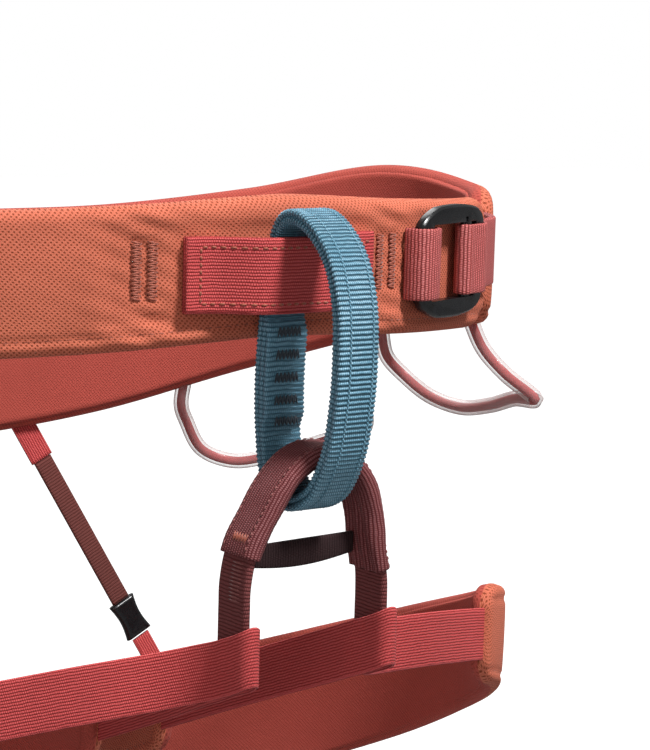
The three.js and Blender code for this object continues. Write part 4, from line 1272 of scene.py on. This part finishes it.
class HARNESS_OT_back(PieceMaker, bpy.types.Operator):
    """Haul loop with its tab, and the risers to the leg loops"""

    bl_idname = "harness.back"
    bl_label = "Haul loop and risers"

    def make(self, sizes):
        points = [belt.at(BACK, HAUL_OFF + out, z) for out, z in HAUL_SIDE]
        haul = Track(centripetal(points, True), (1, 0, 0), True)
        woven_piece(
            "haul_loop_webbing", "haul_loop", evenly(0, haul.length, 110),
            flat_section(10, -2.2, 0), haul.at, "load", "haul_loop", "load_webbing",
        )  # fmt: skip

        def tab(girth, out, across):
            lift = 6.1 * (1 - smooth(abs(girth), 6, 14))
            return belt.at(BACK + girth, out + lift, -27 + across)

        def tab_face(girth, out, across):
            return tab(girth, out + GAP + WEB, across)

        woven_piece(
            "haul_tab_webbing", "haul_loop_tab", evenly(-18, 18, 60),
            flat_section(8, GAP, GAP + WEB), tab, "load", "waist", "load_webbing",
        )  # fmt: skip
        bm = bmesh.new()
        for girth in (-16, 16):
            bar_tack(bm, tab_face, (girth, -3), (girth, 3), thick=0.6, half=1.4, pitch=1)
        make_object("haul_tab_tacks", bm, "thread", "waist", "load_webbing")
        for side in ("left", "right"):
            self.riser(side)

    def riser(self, side):
        sign = 1 if side == "left" else -1
        girth = BACK - 27
        top = belt.at(girth, -4.5, belt_edges(girth)[0] - RISER_SHY)
        share = leg.length * 0.569
        foot = leg.at(share, -3.85, leg_edges(share)[1] + RISER_SHY)
        foot.x += sign * LEG_SHIFT
        down = (foot - top).normalized()
        across = down.cross(Vector((0, 1, 0))).normalized()
        mirror = Matrix.Diagonal((sign, 1, 1))
        top, foot, end = mirror @ top, mirror @ foot, (foot - top).length
        lead = (foot - top).normalized() * LEAD
        line = Track([top - lead, foot + lead], mirror @ across)
        hook = end - LEG_TAB - HOOK_ROOM
        own = f"riser_{side}"
        for name, node, start, stop, width, thick, finish, body, slot in (
            ("belt_tab_tape", f"{own}_belt_tab", -7, BELT_TAB, 10.4, WEB, "load", "waist",
             "load_webbing"),
            ("elastic_tape", f"{own}_elastic", BELT_TAB + GAP, hook - HOOK - GAP, 8.4, 1.8,
             "elastic", own, "riser_elastic"),
            ("hook_body", f"{own}_hook", hook - HOOK, hook, 12.4, 3.4, "plastic", own,
             "dark_plastic"),
            ("leg_tab_tape", f"leg_{side}_riser_tab", end - LEG_TAB, end + 5, 8.4, WEB, "load",
             f"leg_{side}", "load_webbing"),
        ):  # fmt: skip
            waist = 0.2 if name == "hook_body" else 0

            def place(distance, out, across):
                middle = math.sin(math.pi * (distance - start) / (stop - start))
                return line.at(distance + LEAD, out, across * (1 - waist * middle))

            marks = evenly(start, stop, max(8, round((stop - start) / 1.5)))
            section = flat_section(width, -thick / 2, thick / 2)
            woven_piece(f"{own}_{name}", node, marks, section, place, finish, body, slot)


FLOOR_HALF, FLOOR_DROP = 4, 0.03  # metres
LIGHTS = (  # name, place and aim in metres, size, watts
    ("key", (0.3, -1.1, 1.66), (0, -0.1, -0.02), 0.36, 62),
    ("fill", (-1.5, -1.2, 0.35), (0, -0.1, -0.05), 1.2, 6),
    ("back", (0.5, 1.4, 1.2), (0, 0, -0.05), 1.0, 12),
)
CAMERA_ANGLES = (-36.86, 8.18, 1.64)  # azimuth, elevation and roll in degrees
CAMERA_AIM, CAMERA_DISTANCE, CAMERA_LENS = (25.5, -100, -36.5), 832.9, 116.72


class HARNESS_OT_stage(PieceMaker, bpy.types.Operator):
    """Studio floor, soft lights and camera"""

    bl_idname = "harness.stage"
    bl_label = "Studio"

    def make(self, sizes):
        scene = bpy.context.scene
        scene.view_settings.view_transform = "Standard"
        low = min(corner[2] for corner in CAD_BOX)
        bm = bmesh.new()
        bmesh.ops.create_grid(bm, x_segments=2, y_segments=2, size=FLOOR_HALF)
        bmesh.ops.translate(bm, vec=(0, 0, low - FLOOR_DROP), verts=bm.verts)
        mesh = bpy.data.meshes.new("studio_floor")
        bm.to_mesh(mesh)
        bm.free()
        material = bpy.data.materials.new("Studio floor")
        material.use_nodes = True
        g = Graph(material.node_tree)
        shader = material.node_tree.nodes["Principled BSDF"]
        paper = g.fit(g.noise(g.object_place(), 40.0), 0.3, 0.7)
        colour = Vector(scene.harness_colours.floor)
        seen = g.node("ShaderNodeLightPath").outputs["Is Camera Ray"]
        g.feed(
            shader,
            Base_Color=g.mix(paper, (*colour, 1), (*(colour * 0.97), 1)),
            Emission_Color=g.mix(seen, (0, 0, 0, 1), (0.95, 0.95, 0.95, 1)),
            Emission_Strength=1,
            Roughness=0.9,
        )
        mesh.materials.append(material)
        floor = bpy.data.objects.new("studio_floor", mesh)
        scene.collection.objects.link(floor)
        world = scene.world or bpy.data.worlds.new("Studio")
        scene.world = world
        world.use_nodes = True
        sky = Graph(world.node_tree)
        background = world.node_tree.nodes["Background"]
        background.inputs[0].default_value = (1, 1, 1, 1)
        seen = sky.node("ShaderNodeLightPath").outputs["Is Camera Ray"]
        sky.put(background.inputs[1], sky.fit(seen, 0, 1, 0.3, 1.0))
        for name, place, aim, size, power in LIGHTS:
            data = bpy.data.lights.new(name, "AREA")
            data.energy, data.size = power, size
            light = bpy.data.objects.new(name, data)
            scene.collection.objects.link(light)
            direction = Vector(aim) - Vector(place)
            turn = direction.to_track_quat("-Z", "Y").to_matrix().to_4x4()
            light.matrix_world = Matrix.Translation(place) @ turn
        self.camera(scene)

    def camera(self, scene):
        azimuth, elevation, roll = (math.radians(a) for a in CAMERA_ANGLES)
        level = math.cos(elevation)
        back = Vector((math.sin(azimuth) * level, -math.cos(azimuth) * level, math.sin(elevation)))
        right = Vector((math.cos(azimuth), math.sin(azimuth), 0))
        up = back.cross(right)
        side = right * math.cos(roll) + up * math.sin(roll)
        top = up * math.cos(roll) - right * math.sin(roll)
        data = bpy.data.cameras.new("camera")
        data.lens, data.sensor_width, data.sensor_fit = CAMERA_LENS, 36, "AUTO"
        data.clip_start, data.clip_end = 0.05, 20
        camera = bpy.data.objects.new("camera", data)
        scene.collection.objects.link(camera)
        place = Vector(CAMERA_AIM) * MM + back * CAMERA_DISTANCE * MM
        turn = Matrix((side, top, back)).transposed().to_4x4()
        camera.matrix_world = Matrix.Translation(place) @ turn
        scene.camera = camera


PIECES = (
    HARNESS_OT_waist_pad, HARNESS_OT_tie_in, HARNESS_OT_buckle, HARNESS_OT_belay_loop,
    HARNESS_OT_yoke, HARNESS_OT_legs, HARNESS_OT_gear_loops, HARNESS_OT_back, HARNESS_OT_stage,
)  # fmt: skip


class HARNESS_PT_panel(bpy.types.Panel):
    """Lists the harness's sizes, colours and pieces"""

    bl_idname = "HARNESS_PT_panel"
    bl_label = "Harness"
    bl_space_type = "VIEW_3D"
    bl_region_type = "UI"
    bl_category = "Harness"

    def draw(self, context):
        for group in (context.scene.harness_sizes, context.scene.harness_colours):
            for key in group.bl_rna.properties.keys():
                if key not in ("name", "rna_type"):
                    self.layout.prop(group, key)
        for piece in PIECES:
            self.layout.operator(piece.bl_idname)


CLASSES = (HarnessColours, HarnessSizes, *PIECES, HARNESS_PT_panel)


def register():
    for each in CLASSES:
        bpy.utils.register_class(each)
    bpy.types.Scene.harness_colours = bpy.props.PointerProperty(type=HarnessColours)
    bpy.types.Scene.harness_sizes = bpy.props.PointerProperty(type=HarnessSizes)


def unregister():
    del bpy.types.Scene.harness_sizes
    del bpy.types.Scene.harness_colours
    for each in reversed(CLASSES):
        bpy.utils.unregister_class(each)


def main():
    register()
    for piece in PIECES:
        name = piece.bl_idname.split(".")[1]
        getattr(bpy.ops.harness, name)()


if __name__ == "__main__":
    main()
